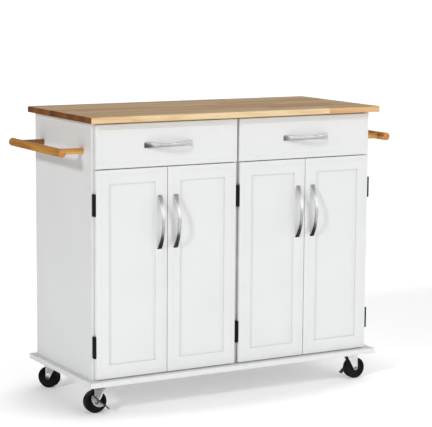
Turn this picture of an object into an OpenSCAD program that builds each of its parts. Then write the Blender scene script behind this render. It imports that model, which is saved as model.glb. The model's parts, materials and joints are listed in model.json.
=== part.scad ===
// Kitchen island cart: a wooden worktop on a painted cabinet with two drawers, four doors,
// a towel bar at each end and four swivel casters, of which the front two have brakes.
// Millimetres. +X is the viewer's right, the doors face -Y and +Z is up. The origin is on the
// floor, midway between the two ends and between the front of the pulls and the top's rear edge.

/* [Worktop] */
// Width of the worktop, left to right
top_w = 1008; // [880:1:1240]
// Depth of the worktop, front to back
top_d = 457; // [380:1:560]
// Thickness of the worktop
top_t = 18; // [13:0.5:40]
// Height of the worktop's surface above the floor
counter_h = 888; // [740:1:1070]
// Overhang of the worktop past each side panel
side_overhang = 17; // [10:0.5:30]
// Overhang of the worktop in front of the doors and drawers
front_overhang = 20; // [16:0.5:30]
// Overhang of the worktop behind the cabinet
rear_overhang = 20; // [10:0.5:30]

/* [Base board] */
// Width of the base board showing past each side panel
base_lip = 19; // [10:0.5:30]
// Setback of the base board from the worktop's front and rear edges
base_setback = 1; // [0:0.5:12]
// Thickness of the base board
base_t = 16; // [13:0.5:30]

/* [Cabinet] */
// Thickness of the panels and cross rails
panel_t = 16; // [13:0.5:20]
// Thickness of the back panel
back_t = 5; // [3:0.5:9]
// Depth of the cross rails, front to back
rail_d = 60; // [40:1:80]
// Thickness of the shelves
shelf_t = 15; // [12:0.5:20]
// Distance from the cabinet's front edge to the shelves' front edge
shelf_setback = 12; // [6:1:60]
// Clearance at each end of a shelf
shelf_play = 1; // [0.5:0.1:2]
// Height of the shelves above the base board
shelf_level = 300; // [200:1:380]
// Step between the rows of shelf-pin holes
pin_step = 50; // [32:1:64]
// Diameter of a shelf pin
pin_d = 5; // [4:0.5:6]

/* [Doors and drawer fronts] */
// Thickness of the doors and drawer fronts
front_t = 15; // [12.5:0.5:20]
// Gap between the back of a door and the cabinet's front edge
front_gap = 1.6; // [1.6:0.1:3]
// Side panel showing beside the outer doors and drawer fronts
side_reveal = 9; // [9:0.5:10]
// Height of the drawer fronts
drawer_front_h = 130; // [106:1:155]
// Gap above the drawer fronts, below the worktop
top_reveal = 5.5; // [4:0.5:12]
// Gap below the doors, above the base board
bottom_reveal = 3; // [2:0.5:6]
// Gap between drawer fronts and doors
row_gap = 3; // [2:0.5:5]
// Gap between the two doors of a pair
pair_gap = 2; // [2:0.5:5]
// Gap between the two drawer fronts
drawer_pair_gap = 8; // [4:0.5:12]
// Width of a door's stiles
stile_w = 40; // [36:1:55]
// Height of a door's rails
rail_h = 42; // [36:1:60]
// Thickness of a door's panel
door_panel_t = 6; // [4:0.5:8]
// Recess of a door's panel behind the face of its frame
door_recess = 5; // [3:0.5:6]
// Depth of the groove that holds a door's panel
groove_d = 8; // [5:0.5:10]
// Width of the shallow bevel around each door and drawer front
bevel_w = 15; // [10:0.5:20]
// Depth of that bevel at the edge
bevel_d = 2.6; // [1:0.1:3]

/* [Drawer boxes] */
// Thickness of the sides, front and back of a drawer box
box_t = 12; // [10:0.5:15]
// Height of a drawer box
box_h = 88; // [70:1:100]
// Space behind a closed drawer box
box_rear_gap = 47; // [20:1:90]
// Thickness of a drawer's bottom
box_bottom_t = 4; // [3:0.5:6]
// Width of the space for a runner at each side of a drawer box
runner_space = 12.7; // [12:0.1:14]
// Height of the cabinet's half of a runner
runner_h = 36; // [30:1:45]
// Thickness of the runners' sheet steel
runner_t = 1.2; // [1:0.1:1.5]

/* [Pulls] */
// Length of a pull
pull_l = 163; // [120:1:200]
// Width of a pull at its ends
pull_w = 17.5; // [14:0.5:22]
// Width of a pull at its middle
pull_waist = 11.5; // [8:0.5:14]
// Distance that a pull stands out from its door
pull_reach = 26; // [22:0.5:32]
// Thickness of a pull's strap
pull_t = 3.4; // [2.5:0.1:5]
// Distance from a door's free edge to the middle of its pull
pull_inset = 26; // [20:0.5:30]
// Height of the middle of the door pulls below the top of the doors
pull_drop = 164; // [110:1:260]

/* [Hinges] */
// Height of a hinge
hinge_h = 65; // [50:1:80]
// Diameter of a hinge's barrel
barrel_d = 6.4; // [5.5:0.1:6.6]
// Diameter of a hinge's pin
hinge_pin_d = 3; // [2.5:0.1:3.5]
// Distance from the top of a door to its upper hinge
hinge_inset_top = 70; // [40:1:120]
// Distance from the bottom of a door to its lower hinge
hinge_inset_bottom = 65; // [40:1:120]

/* [Towel bars] */
// Diameter of a towel bar
bar_d = 24.5; // [20:0.5:30]
// Length of a towel bar
bar_l = 368; // [310:1:400]
// Distance from the side panel to the middle of the bar
bar_stand = 84; // [70:1:100]
// Height of the bar's middle below the worktop's surface
bar_drop = 104.5; // [88:0.5:130]
// Diameter of the posts that carry a bar
post_d = 19; // [16:0.5:22]
// Distance between the two posts of a bar
post_spacing = 282; // [235:1:300]

/* [Casters] */
// Diameter of a wheel
wheel_d = 68; // [56:1:82]
// Width of a wheel
wheel_w = 24; // [20:0.5:30]
// Distance from the swivel axis back to the axle
trail = 18; // [15:0.5:24]
// Diameter of an axle
axle_d = 7; // [6:0.5:8]
// Length of a caster's mounting plate
plate_l = 62; // [56:1:75]
// Width of a caster's mounting plate
plate_w = 50; // [44:1:60]
// Distance from the base board's ends to the swivel axes
caster_inset_x = 59; // [52:1:90]
// Distance from the base board's front and rear edges to the swivel axes
caster_inset_y = 61.5; // [54:0.5:90]

/* [Hidden] */
$fn = 64;

// Colours
paint = "whitesmoke";
inside_paint = "white";
wood_light = "burlywood";
wood_gold = "peru";
black = "#1c1c1c";
bright = "silver";
zinc = "lightslategray";

// Gap between glued or touching pieces that stay separate solids
glue = 0.05;
// Radial clearance of a pin or axle that turns in its hole
running = 0.05;
// Overcut past a face
cut = 1;

// Heights of the caster's parts above the wheel
crown_clear = 9.6;
crown_t = 2.5;
swivel_gap = 0.4;
race_h = 6;
plate_t = 2.5;
caster_h = wheel_d + crown_clear + crown_t + swivel_gap + race_h + plate_t;

// Outer sizes of the cabinet and the base board
body_w = top_w - 2 * side_overhang;
base_w = body_w + 2 * base_lip;
base_d = top_d - 2 * base_setback;

// Levels, from the floor up
case_z = caster_h + base_t;
case_top = counter_h - top_t;
drawer_z1 = case_top - top_reveal;
drawer_z0 = drawer_z1 - drawer_front_h;
door_z1 = drawer_z0 - row_gap;
door_z0 = case_z + bottom_reveal;
door_h = door_z1 - door_z0;
mid_z = drawer_z0 - row_gap / 2;
mid_rail_top = mid_z + panel_t / 2;
mid_rail_bottom = mid_z - panel_t / 2;

// Distances from front to back
y_shift = max(0, pull_reach - front_overhang) / 2;
y_face = y_shift - top_d / 2 + front_overhang;
y_back_of_fronts = y_face + front_t;
y_case_front = y_back_of_fronts + front_gap;
y_case_rear = y_shift + top_d / 2 - rear_overhang;
y_case_mid = (y_case_front + y_case_rear) / 2;
y_inner_rear = y_case_rear - back_t;

// Distances from left to right
x_side = body_w / 2;
x_inner = x_side - panel_t;
x_front = x_side - side_reveal;
x_divider = panel_t / 2;

// Hinges: the axis stands off the door's edge, and each leaf lies beside the barrel. The frame's
// leaf has a flange that is screwed to the front edge of its panel.
leaf_t = 1.5;
flange_t = 1.2;
flange_inset = 0.2;
knuckle_gap = 0.3;
barrel_gap = 0.3;
leaf_gap = 0.4;
axis_depth = 5;
barrel_r = barrel_d / 2;
axis_off = barrel_r + barrel_gap;
centre_axis = axis_off + flange_inset / 2;
outer_axis = x_front + axis_off;
y_axis = y_face + axis_depth;
y_leaf_end = front_t - axis_depth;
y_flange = y_leaf_end + front_gap;
leaf_clear = barrel_r + leaf_gap;
flange_w = x_divider - flange_inset;
third = hinge_h / 3;
hinge_levels = [door_z0 + hinge_inset_bottom, door_z1 - hinge_inset_top - hinge_h];
hinge_screw_levels = [hinge_h * 0.18, hinge_h * 0.82];
hinge_screw_x = (flange_w - 2 * axis_off + leaf_t) / 2;
hinge_screw_y = (leaf_clear + y_leaf_end) / 2;
hinge_screw_l = 15;
hinge_screw_r = 1.2;
hinge_head_r = 2.1;
hinge_head_h = 0.9;

// Doors, numbered from the left: 1 and 3 hinge on their left edge, 2 and 4 on their right
door_in = centre_axis + axis_off;
door_w = (x_front - door_in - pair_gap) / 2;
door_axis_x = [-outer_axis, -centre_axis, centre_axis, outer_axis];
door_hinged_right = [false, true, false, true];
pair_x = (x_front + door_in) / 2;
door_pull_z = door_z1 - pull_drop;

// Drawers
drawer_in = drawer_pair_gap / 2;
drawer_w = x_front - drawer_in;
drawer_x = (x_front + drawer_in) / 2;
bay_w = x_inner - x_divider;
bay_x = (x_inner + x_divider) / 2;
bay_h = case_top - panel_t - mid_rail_top;
box_w = bay_w - 2 * runner_space;
box_d = y_inner_rear - y_back_of_fronts - box_rear_gap;
box_z = mid_rail_top + (bay_h - box_h) / 2;
box_mid_z = box_z + box_h / 2;
bottom_inset = 10;
bottom_groove = box_t / 2;
runner_setback = 6;
runner_short = 20;
runner_l = box_d - runner_short;
runner_lip = 9;
runner_play = 0.8;

// Pulls: an arched strap of radius arch_r, waisted by two large arcs of radius waist_r
arch_r = (pow(pull_l / 2, 2) + pow(pull_reach, 2)) / (2 * pull_reach);
waist_cut = (pull_w - pull_waist) / 2;
waist_r = (pow(pull_l / 2, 2) + pow(waist_cut, 2)) / (2 * waist_cut);
pad_in = sqrt(pow(arch_r - pull_t, 2) - pow(arch_r - pull_reach, 2));
pull_screw_x = (pull_l / 2 + pad_in) / 2;
pull_screw_r = 2;
pull_head_r = 4;
pull_head_h = 2.2;

// Shelves and their pins
shelf_z = case_z + shelf_level;
pin_r = pin_d / 2;
pin_z = shelf_z - pin_r;
pin_skin = 1;
pin_depth = x_divider - pin_skin;
pin_out = 9;
pin_inset = 45;
pin_rows = [-2:2];
pin_ys = [y_case_front + shelf_setback + pin_inset, y_inner_rear - pin_inset];

// Towel bars
bar_x = x_side + bar_stand;
bar_z = counter_h - bar_drop;
bar_r = bar_d / 2;
post_r = post_d / 2;
post_ys = [y_case_mid - post_spacing / 2, y_case_mid + post_spacing / 2];
tenon_r = 5;
tenon_past = 4;
bar_chamfer = 1.2;

// Screws that hold the cabinet together: length, radius, head radius and head height
panel_screw = [50, 2.5, 4.6, 2.6];
top_screw_bite = 9;
top_screw = [panel_t + top_screw_bite, 2, 3.8, 2.2];
post_screw_bite = 30;
post_screw = [panel_t + post_screw_bite, 2.5, 4.6, 2.6];
plate_screw_bite = 10;
plate_screw = [plate_t + plate_screw_bite, 2, 3.6, 1.8];
panel_screw_inset = 90;
panel_screw_ys = [y_case_front + panel_screw_inset, y_case_rear - panel_screw_inset];
panel_screw_xs = [-x_side + panel_t / 2, 0, x_side - panel_t / 2];
top_rail_ys = [y_case_front + rail_d / 2, y_inner_rear - rail_d / 2];
top_screw_inset = 60;
top_screw_xs = [-x_inner + top_screw_inset, -x_divider - top_screw_inset,
                x_divider + top_screw_inset, x_inner - top_screw_inset];

// Casters, in the order front left, front right, rear left, rear right. The heading is the
// way that the wheel trails from its swivel axis.
caster_sides = [[-1, -1], [1, -1], [-1, 1], [1, 1]];
caster_headings = [176, -2, 130, 40];
caster_x = base_w / 2 - caster_inset_x;
caster_y = base_d / 2 - caster_inset_y;
wheel_r = wheel_d / 2;
axle_r = axle_d / 2;
leg_t = 2;
leg_gap = 1;
leg_in = wheel_w / 2 + leg_gap;
leg_out = leg_in + leg_t;
leg_eye = 3.5;
leg_end_r = axle_r + leg_eye;
crown_z = wheel_d + crown_clear;
crown_front = -16;
crown_past = 6;
crown_rear = trail + crown_past;
race_r = 18;
crown_rim = 1;
race_z = crown_z + crown_t + swivel_gap;
plate_z = race_z + race_h;
kingpin_r = 4.5;
kingpin_head_r = 8;
kingpin_head_h = 2;
plate_screw_inset = 8;
axle_shoulder = 2.3;
axle_head_r = axle_r + axle_shoulder;
axle_head_h = 3;

// Foot brake: a half-round plate on the axle with a flange along its straight edge
brake_tilt = 42;
brake_t = 1.5;
brake_gap = 0.4;
brake_head_gap = 1.2;
brake_chord = axle_head_r + brake_head_gap;
brake_below = 11;
brake_depth = brake_chord + brake_below;
brake_half = 26;
brake_past = 6;
brake_arm = wheel_r + brake_past;
brake_flange_w = 16;
brake_flange_t = 3;
brake_r = (pow(brake_half, 2) + pow(brake_depth, 2)) / (2 * brake_depth);
brake_y = leg_out + brake_gap;
brake_stack = brake_gap + brake_t + brake_gap;

// Door catches
catch_size = [44, 15, 14];
catch_gap = 0.5;

// Countersunk screw along +Z with its head's face at z = 0, where s is its length, its radius,
// its head's radius and its head's height
module screw(s) {
    cylinder(h = s[0], r = s[1]);
    cylinder(h = s[3], r1 = s[2], r2 = s[1]);
}

// Box between two corners
module block(low, high) {
    translate(low) cube(high - low);
}

// Point where a tangent from p touches the circle at c with radius r, on the side given by s
function touch(p, c, r, s) =
    let (a = atan2(p[1] - c[1], p[0] - c[0]) + s * acos(r / norm(p - c)))
    c + r * [cos(a), sin(a)];

// ---- Worktop, base board and cabinet ----

module place_panel_screws() {
    for (x = panel_screw_xs, y = panel_screw_ys)
        translate([x, y, caster_h]) screw(panel_screw);
}

module place_top_screws() {
    for (x = top_screw_xs, y = top_rail_ys)
        translate([x, y, case_top - panel_t]) screw(top_screw);
}

module place_post_screws() {
    for (side = [-1, 1], y = post_ys)
        translate([side * x_inner, y, bar_z]) rotate([0, side * 90, 0]) screw(post_screw);
}

module place_plate_screws() {
    for (c = caster_sides, sx = [-1, 1], sy = [-1, 1])
        translate([c[0] * caster_x + sx * (plate_l / 2 - plate_screw_inset),
                   y_shift + c[1] * caster_y + sy * (plate_w / 2 - plate_screw_inset), plate_z])
            screw(plate_screw);
}

module worktop() {
    color(wood_light) difference() {
        block([-top_w / 2, y_shift - top_d / 2, case_top], [top_w / 2, y_shift + top_d / 2, counter_h]);
        place_top_screws();
    }
}

module base_board() {
    color(paint) difference() {
        block([-base_w / 2, y_shift - base_d / 2, caster_h], [base_w / 2, y_shift + base_d / 2, case_z]);
        place_panel_screws();
        place_plate_screws();
    }
}

// Rows of shelf-pin holes in the face of a panel at x, going in towards side
module pin_holes(x, side) {
    for (y = pin_ys, row = pin_rows)
        translate([x, y, pin_z + row * pin_step]) rotate([0, side * 90, 0])
            cylinder(h = pin_depth, r = pin_r);
}

module side_panel(side) {
    color(paint) difference() {
        block([side > 0 ? x_inner : -x_side, y_case_front, case_z],
              [side > 0 ? x_side : -x_inner, y_case_rear, case_top]);
        pin_holes(side * x_inner, side);
        place_panel_screws();
        place_post_screws();
        place_frame_leaf_screws();
    }
}

module side_panel_left() {
    side_panel(-1);
}

module side_panel_right() {
    side_panel(1);
}

module centre_divider() {
    color(inside_paint) difference() {
        block([-x_divider, y_case_front, case_z], [x_divider, y_inner_rear, case_top]);
        pin_holes(-x_divider, 1);
        pin_holes(x_divider, -1);
        place_panel_screws();
        place_frame_leaf_screws();
    }
}

module back_panel() {
    color(paint) block([-x_inner, y_inner_rear, case_z], [x_inner, y_case_rear, case_top]);
}

// Rails under the worktop, front and rear, and between the drawers and the doors
module cross_rails() {
    color(inside_paint) for (side = [-1, 1]) difference() {
        union() {
            for (y = top_rail_ys)
                translate([side * bay_x, y, case_top - panel_t / 2])
                    cube([bay_w, rail_d, panel_t], center = true);
            translate([side * bay_x, y_case_front + rail_d / 2, mid_z])
                cube([bay_w, rail_d, panel_t], center = true);
        }
        place_top_screws();
    }
}

module shelf(side) {
    color(inside_paint) translate([side * bay_x, 0, 0])
        block([-bay_w / 2 + shelf_play, y_case_front + shelf_setback, shelf_z],
              [bay_w / 2 - shelf_play, y_inner_rear - shelf_play, shelf_z + shelf_t]);
}

module shelf_left() {
    shelf(-1);
}

module shelf_right() {
    shelf(1);
}

module shelf_pins() {
    color(bright) for (side = [-1, 1], wall = [-1, 1], y = pin_ys)
        translate([side * bay_x + wall * (bay_w / 2 + pin_depth), y, pin_z])
            rotate([0, -wall * 90, 0]) cylinder(h = pin_depth + pin_out, r = pin_r);
}

module assembly_screws() {
    color(zinc) {
        place_panel_screws();
        place_top_screws();
        place_post_screws();
        place_plate_screws();
    }
}

module door_catches() {
    color(inside_paint) for (side = [-1, 1])
        translate([side * pair_x - catch_size[0] / 2, y_back_of_fronts + catch_gap,
                   mid_rail_bottom - catch_size[2]])
            cube(catch_size);
}

// ---- Towel bars ----

module bar_body(side) {
    translate([side * bar_x, y_case_mid - bar_l / 2, bar_z]) rotate([-90, 0, 0]) {
        cylinder(h = bar_chamfer, r1 = bar_r - bar_chamfer, r2 = bar_r);
        translate([0, 0, bar_chamfer]) cylinder(h = bar_l - 2 * bar_chamfer, r = bar_r);
        translate([0, 0, bar_l - bar_chamfer])
            cylinder(h = bar_chamfer, r1 = bar_r, r2 = bar_r - bar_chamfer);
    }
}

module tenons(side) {
    for (y = post_ys)
        translate([side * x_side, y, bar_z]) rotate([0, side * 90, 0])
            cylinder(h = bar_stand + tenon_past, r = tenon_r);
}

module towel_bar(side) {
    color(wood_gold) difference() {
        bar_body(side);
        tenons(side);
    }
}

module towel_bar_left() {
    towel_bar(-1);
}

module towel_bar_right() {
    towel_bar(1);
}

module towel_bar_posts() {
    color(wood_gold) for (side = [-1, 1]) difference() {
        union() {
            difference() {
                for (y = post_ys)
                    translate([side * x_side, y, bar_z]) rotate([0, side * 90, 0])
                        cylinder(h = bar_stand, r = post_r);
                translate([side * bar_x, y_case_mid - bar_l / 2, bar_z]) rotate([-90, 0, 0])
                    cylinder(h = bar_l, r = bar_r);
            }
            tenons(side);
        }
        place_post_screws();
    }
}

// ---- Doors ----

// Slab w wide and h high with its face at y = 0 and a shallow bevel around the face
module bevelled_slab(w, h) {
    slope = atan2(bevel_d, bevel_w);
    difference() {
        cube([w, front_t, h]);
        for (m = [0, 1]) {
            translate([m * w, 0, 0]) mirror_x(m) translate([bevel_w, 0, -cut])
                rotate([0, 0, 180 - slope]) cube([2 * bevel_w, 4 * bevel_d, h + 2 * cut]);
            translate([0, 0, m * h]) mirror_z(m) translate([-cut, 0, bevel_w])
                rotate([180 + slope, 0, 0]) cube([w + 2 * cut, 4 * bevel_d, 2 * bevel_w]);
        }
    }
}

// Mirror left to right where m is 1
module mirror_x(m) {
    if (m == 1) mirror([1, 0, 0]) children();
    else children();
}

// Mirror top to bottom where m is 1
module mirror_z(m) {
    if (m == 1) mirror([0, 0, 1]) children();
    else children();
}

// Place door n's children with the hinge axis at x = 0, y = 0 and the door towards +X
module at_door(n) {
    translate([door_axis_x[n - 1], y_axis, 0]) mirror_x(door_hinged_right[n - 1] ? 1 : 0) children();
}

module at_door_face() {
    translate([axis_off, -axis_depth, door_z0]) children();
}

module door_panel_body() {
    block([stile_w - groove_d, door_recess, rail_h - groove_d],
          [door_w - stile_w + groove_d, door_recess + door_panel_t, door_h - rail_h + groove_d]);
}

module door_pull_place() {
    translate([axis_off + door_w - pull_inset, -axis_depth, door_pull_z]) rotate([0, 90, 0]) children();
}

module door_frame(n) {
    color(paint) at_door(n) difference() {
        at_door_face() difference() {
            union() {
                for (x = [0, door_w - stile_w]) intersection() {
                    bevelled_slab(door_w, door_h);
                    block([x, -cut, -cut], [x + stile_w, front_t + cut, door_h + cut]);
                }
                for (z = [0, door_h - rail_h]) intersection() {
                    bevelled_slab(door_w, door_h);
                    block([stile_w + glue, -cut, z],
                          [door_w - stile_w - glue, front_t + cut, z + rail_h]);
                }
            }
            door_panel_body();
        }
        door_pull_place() pull_screws(front_t);
        door_leaf_screws();
    }
}

module door_panel(n) {
    color(paint) at_door(n) at_door_face() door_panel_body();
}

module door_pull(n) {
    color(bright) at_door(n) door_pull_place() {
        pull_strap();
        pull_screws(front_t);
    }
}

module door_1_frame() {
    door_frame(1);
}

module door_2_frame() {
    door_frame(2);
}

module door_3_frame() {
    door_frame(3);
}

module door_4_frame() {
    door_frame(4);
}

module door_1_panel() {
    door_panel(1);
}

module door_2_panel() {
    door_panel(2);
}

module door_3_panel() {
    door_panel(3);
}

module door_4_panel() {
    door_panel(4);
}

module door_1_pull() {
    door_pull(1);
}

module door_2_pull() {
    door_pull(2);
}

module door_3_pull() {
    door_pull(3);
}

module door_4_pull() {
    door_pull(4);
}

// ---- Pulls, along X with their pads at y = 0 and their arch towards -Y ----

module pull_strap() {
    difference() {
        translate([0, 0, -pull_w / 2]) linear_extrude(pull_w) intersection() {
            difference() {
                translate([0, arch_r - pull_reach]) circle(arch_r, $fn = 200);
                translate([0, arch_r - pull_reach]) circle(arch_r - pull_t, $fn = 200);
            }
            translate([-pull_l, -2 * pull_reach]) square([2 * pull_l, 2 * pull_reach]);
        }
        for (s = [-1, 1])
            translate([0, cut, s * (pull_waist / 2 + waist_r)]) rotate([90, 0, 0])
                cylinder(h = 2 * pull_reach, r = waist_r, $fn = 240);
    }
}

// Two machine screws from behind a front of thickness t, with their heads behind it
module pull_screws(t) {
    for (s = [-1, 1]) translate([s * pull_screw_x, 0, 0]) rotate([-90, 0, 0]) {
        translate([0, 0, glue]) cylinder(h = t - glue, r = pull_screw_r);
        translate([0, 0, t]) cylinder(h = pull_head_h, r = pull_head_r);
    }
}

// ---- Hinges, from z = 0 up, with the axis at x = 0, y = 0 and the door's edge at x = axis_off ----

// Solid barrel between two heights
module knuckle(low, high) {
    translate([0, 0, low]) cylinder(h = high - low, r = barrel_r);
}

module at_hinges() {
    for (z = hinge_levels) translate([0, 0, z]) children();
}

module frame_leaf_screws() {
    at_hinges() for (z = hinge_screw_levels)
        translate([hinge_screw_x, y_flange - flange_t, z]) rotate([-90, 0, 0])
            screw([hinge_screw_l, hinge_screw_r, hinge_head_r, hinge_head_h]);
}

module place_frame_leaf_screws() {
    for (n = [1:4]) at_door(n) frame_leaf_screws();
}

module door_leaf_screws() {
    at_hinges() for (z = hinge_screw_levels)
        translate([axis_off - leaf_t, hinge_screw_y, z]) rotate([0, 90, 0])
            screw([hinge_screw_l, hinge_screw_r, hinge_head_r, hinge_head_h]);
}

module frame_leaf() {
    difference() {
        union() {
            knuckle(0, third - knuckle_gap / 2);
            knuckle(2 * third + knuckle_gap / 2, hinge_h);
            difference() {
                block([-axis_off, 0, 0], [-axis_off + leaf_t, y_flange, hinge_h]);
                block([-axis_off - cut, -cut, third - knuckle_gap / 2],
                      [-axis_off + leaf_t + cut, leaf_clear, 2 * third + knuckle_gap / 2]);
            }
            block([-axis_off, y_flange - flange_t, 0], [-axis_off + flange_w, y_flange, hinge_h]);
        }
        translate([0, 0, -cut]) cylinder(h = hinge_h + 2 * cut, d = hinge_pin_d);
    }
}

module door_leaf() {
    difference() {
        union() {
            knuckle(third + knuckle_gap / 2, 2 * third - knuckle_gap / 2);
            difference() {
                block([axis_off - leaf_t, 0, 0], [axis_off, y_leaf_end, hinge_h]);
                for (z = [-cut, 2 * third - knuckle_gap / 2])
                    block([axis_off - leaf_t - cut, -cut, z],
                          [axis_off + cut, leaf_clear, z + third + knuckle_gap / 2 + cut]);
            }
        }
        translate([0, 0, -cut]) cylinder(h = hinge_h + 2 * cut, r = hinge_pin_d / 2 + running);
    }
}

module hinge_frame_leaves() {
    color(black) for (n = [1:4]) at_door(n) difference() {
        at_hinges() frame_leaf();
        frame_leaf_screws();
    }
}

module hinge_pins() {
    color(black) for (n = [1:4]) at_door(n) at_hinges() cylinder(h = hinge_h, d = hinge_pin_d);
}

module hinge_screws() {
    color(black) place_frame_leaf_screws();
}

module door_hinge_leaves(n) {
    color(black) at_door(n) difference() {
        at_hinges() door_leaf();
        door_leaf_screws();
    }
}

module door_1_hinge_leaves() {
    door_hinge_leaves(1);
}

module door_2_hinge_leaves() {
    door_hinge_leaves(2);
}

module door_3_hinge_leaves() {
    door_hinge_leaves(3);
}

module door_4_hinge_leaves() {
    door_hinge_leaves(4);
}

// ---- Drawers ----

module drawer_front(side) {
    color(paint) difference() {
        translate([side * drawer_x - drawer_w / 2, y_face, drawer_z0])
            bevelled_slab(drawer_w, drawer_front_h);
        at_drawer_pull(side) pull_screws(front_t);
    }
}

module at_drawer_pull(side) {
    translate([side * drawer_x, y_face, (drawer_z0 + drawer_z1) / 2]) children();
}

module drawer_bottom_body(side) {
    translate([side * bay_x, y_back_of_fronts, box_z + bottom_inset])
        block([-box_w / 2 + box_t - bottom_groove, box_t - bottom_groove, 0],
              [box_w / 2 - box_t + bottom_groove, box_d - box_t + bottom_groove, box_bottom_t]);
}

// Two long sides, with the front and back of the box between them
module drawer_box(side) {
    inner = box_w / 2 - box_t;
    color(inside_paint) difference() {
        translate([side * bay_x, y_back_of_fronts, box_z]) {
            for (s = [-1, 1]) translate([s * (box_w - box_t) / 2 - box_t / 2, 0, 0])
                cube([box_t, box_d, box_h]);
            for (y = [0, box_d - box_t])
                block([-inner + glue, y, 0], [inner - glue, y + box_t, box_h]);
        }
        drawer_bottom_body(side);
        at_drawer_pull(side) pull_screws(front_t + box_t);
    }
}

module drawer_bottom(side) {
    color(inside_paint) drawer_bottom_body(side);
}

module drawer_pull(side) {
    color(bright) at_drawer_pull(side) {
        pull_strap();
        pull_screws(front_t + box_t);
    }
}

// Channel of height h whose web spans x0 to x0 + runner_t and whose lips end at x1
module channel(h, x0, x1) {
    low = min(x0, x1);
    high = max(x0 + runner_t, x1);
    block([x0, 0, -h / 2], [x0 + runner_t, runner_l, h / 2]);
    for (s = [0, 1])
        block([low, 0, s == 0 ? -h / 2 : h / 2 - runner_t],
              [high, runner_l, s == 0 ? -h / 2 + runner_t : h / 2]);
}

// Place children at both walls of a drawer's bay, with x = 0 on the wall and +X towards the drawer
module at_runners(side) {
    translate([side * bay_x, y_case_front + runner_setback, box_mid_z])
        for (m = [0, 1]) mirror_x(m) translate([-bay_w / 2, 0, 0]) children();
}

module drawer_runners_fixed() {
    color(bright) for (side = [-1, 1]) at_runners(side) channel(runner_h, 0, runner_t + runner_lip);
}

module drawer_runners(side) {
    color(bright) at_runners(side)
        channel(runner_h - 2 * (runner_t + runner_play), runner_space - runner_t,
                runner_space - runner_t - runner_lip);
}

module drawer_left_front() {
    drawer_front(-1);
}

module drawer_left_box() {
    drawer_box(-1);
}

module drawer_left_bottom() {
    drawer_bottom(-1);
}

module drawer_left_pull() {
    drawer_pull(-1);
}

module drawer_left_runners() {
    drawer_runners(-1);
}

module drawer_right_front() {
    drawer_front(1);
}

module drawer_right_box() {
    drawer_box(1);
}

module drawer_right_bottom() {
    drawer_bottom(1);
}

module drawer_right_pull() {
    drawer_pull(1);
}

module drawer_right_runners() {
    drawer_runners(1);
}

// ---- Casters, with the swivel axis at x = 0, y = 0 and the wheel trailing towards +X ----

module at_caster(n) {
    side = caster_sides[n];
    translate([side[0] * caster_x, y_shift + side[1] * caster_y, 0])
        rotate([0, 0, caster_headings[n]]) children();
}

// Mounting plates, each with its ball race and its riveted kingpin
module caster_plates() {
    color(zinc) difference() {
        for (c = caster_sides) translate([c[0] * caster_x, y_shift + c[1] * caster_y, 0]) {
            translate([-plate_l / 2, -plate_w / 2, plate_z]) cube([plate_l, plate_w, plate_t]);
            translate([0, 0, race_z]) cylinder(h = race_h, r = race_r);
            translate([0, 0, crown_z - swivel_gap])
                cylinder(h = plate_z - crown_z + swivel_gap, r = kingpin_r);
            translate([0, 0, crown_z - swivel_gap - kingpin_head_h])
                cylinder(h = kingpin_head_h, r = kingpin_head_r);
        }
        place_plate_screws();
    }
}

// Side view of a leg: a tapered plate from the crown down to a round end at the axle
module leg_outline() {
    front = [crown_front, crown_z + crown_t];
    rear = [crown_rear, crown_z + crown_t];
    axle = [trail, wheel_r];
    polygon([front, rear, touch(rear, axle, leg_end_r, -1), touch(front, axle, leg_end_r, 1)]);
    translate(axle) circle(leg_end_r);
}

module caster_fork(n) {
    color(zinc) at_caster(n) difference() {
        union() {
            for (y = [-leg_in, leg_out]) translate([0, y, 0]) rotate([90, 0, 0])
                linear_extrude(leg_t) leg_outline();
            block([crown_front, -leg_out, crown_z], [crown_rear, leg_out, crown_z + crown_t]);
            translate([0, 0, crown_z]) cylinder(h = crown_t, r = race_r + crown_rim);
        }
        translate([0, 0, crown_z - cut]) cylinder(h = crown_t + 2 * cut, r = kingpin_r + running);
        translate([trail, -leg_out - cut, wheel_r]) rotate([-90, 0, 0])
            cylinder(h = 2 * (leg_out + cut), r = axle_r);
    }
}

// Solid moulded wheel with chamfered edges and a dished face around its hub
module caster_wheel(n) {
    edge = 2.5;
    dish_in = axle_r + 7;
    dish_out = wheel_r - 8;
    dish_d = 3;
    draft = 1;
    half = wheel_w / 2;
    bore = axle_r + running;
    color(black) at_caster(n) translate([trail, 0, wheel_r]) rotate([90, 0, 0]) rotate_extrude()
        polygon([
            [bore, -half], [dish_in, -half], [dish_in + draft, dish_d - half],
            [dish_out - draft, dish_d - half], [dish_out, -half], [wheel_r - edge, -half],
            [wheel_r, edge - half], [wheel_r, half - edge], [wheel_r - edge, half],
            [dish_out, half], [dish_out - draft, half - dish_d],
            [dish_in + draft, half - dish_d], [dish_in, half], [bore, half]
        ]);
}

// Axle bolt with a round head, longer where it also carries a brake, and its nut
module caster_axle(n, braked) {
    head_y = leg_out + (braked ? brake_stack : 0);
    color(bright) at_caster(n) translate([trail, 0, wheel_r]) rotate([-90, 0, 0]) {
        translate([0, 0, -leg_out]) cylinder(h = leg_out + head_y, r = axle_r);
        translate([0, 0, head_y]) cylinder(h = axle_head_h, r = axle_head_r);
        translate([0, 0, -leg_out - axle_head_h]) cylinder(h = axle_head_h, r = axle_head_r, $fn = 6);
    }
}

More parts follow.
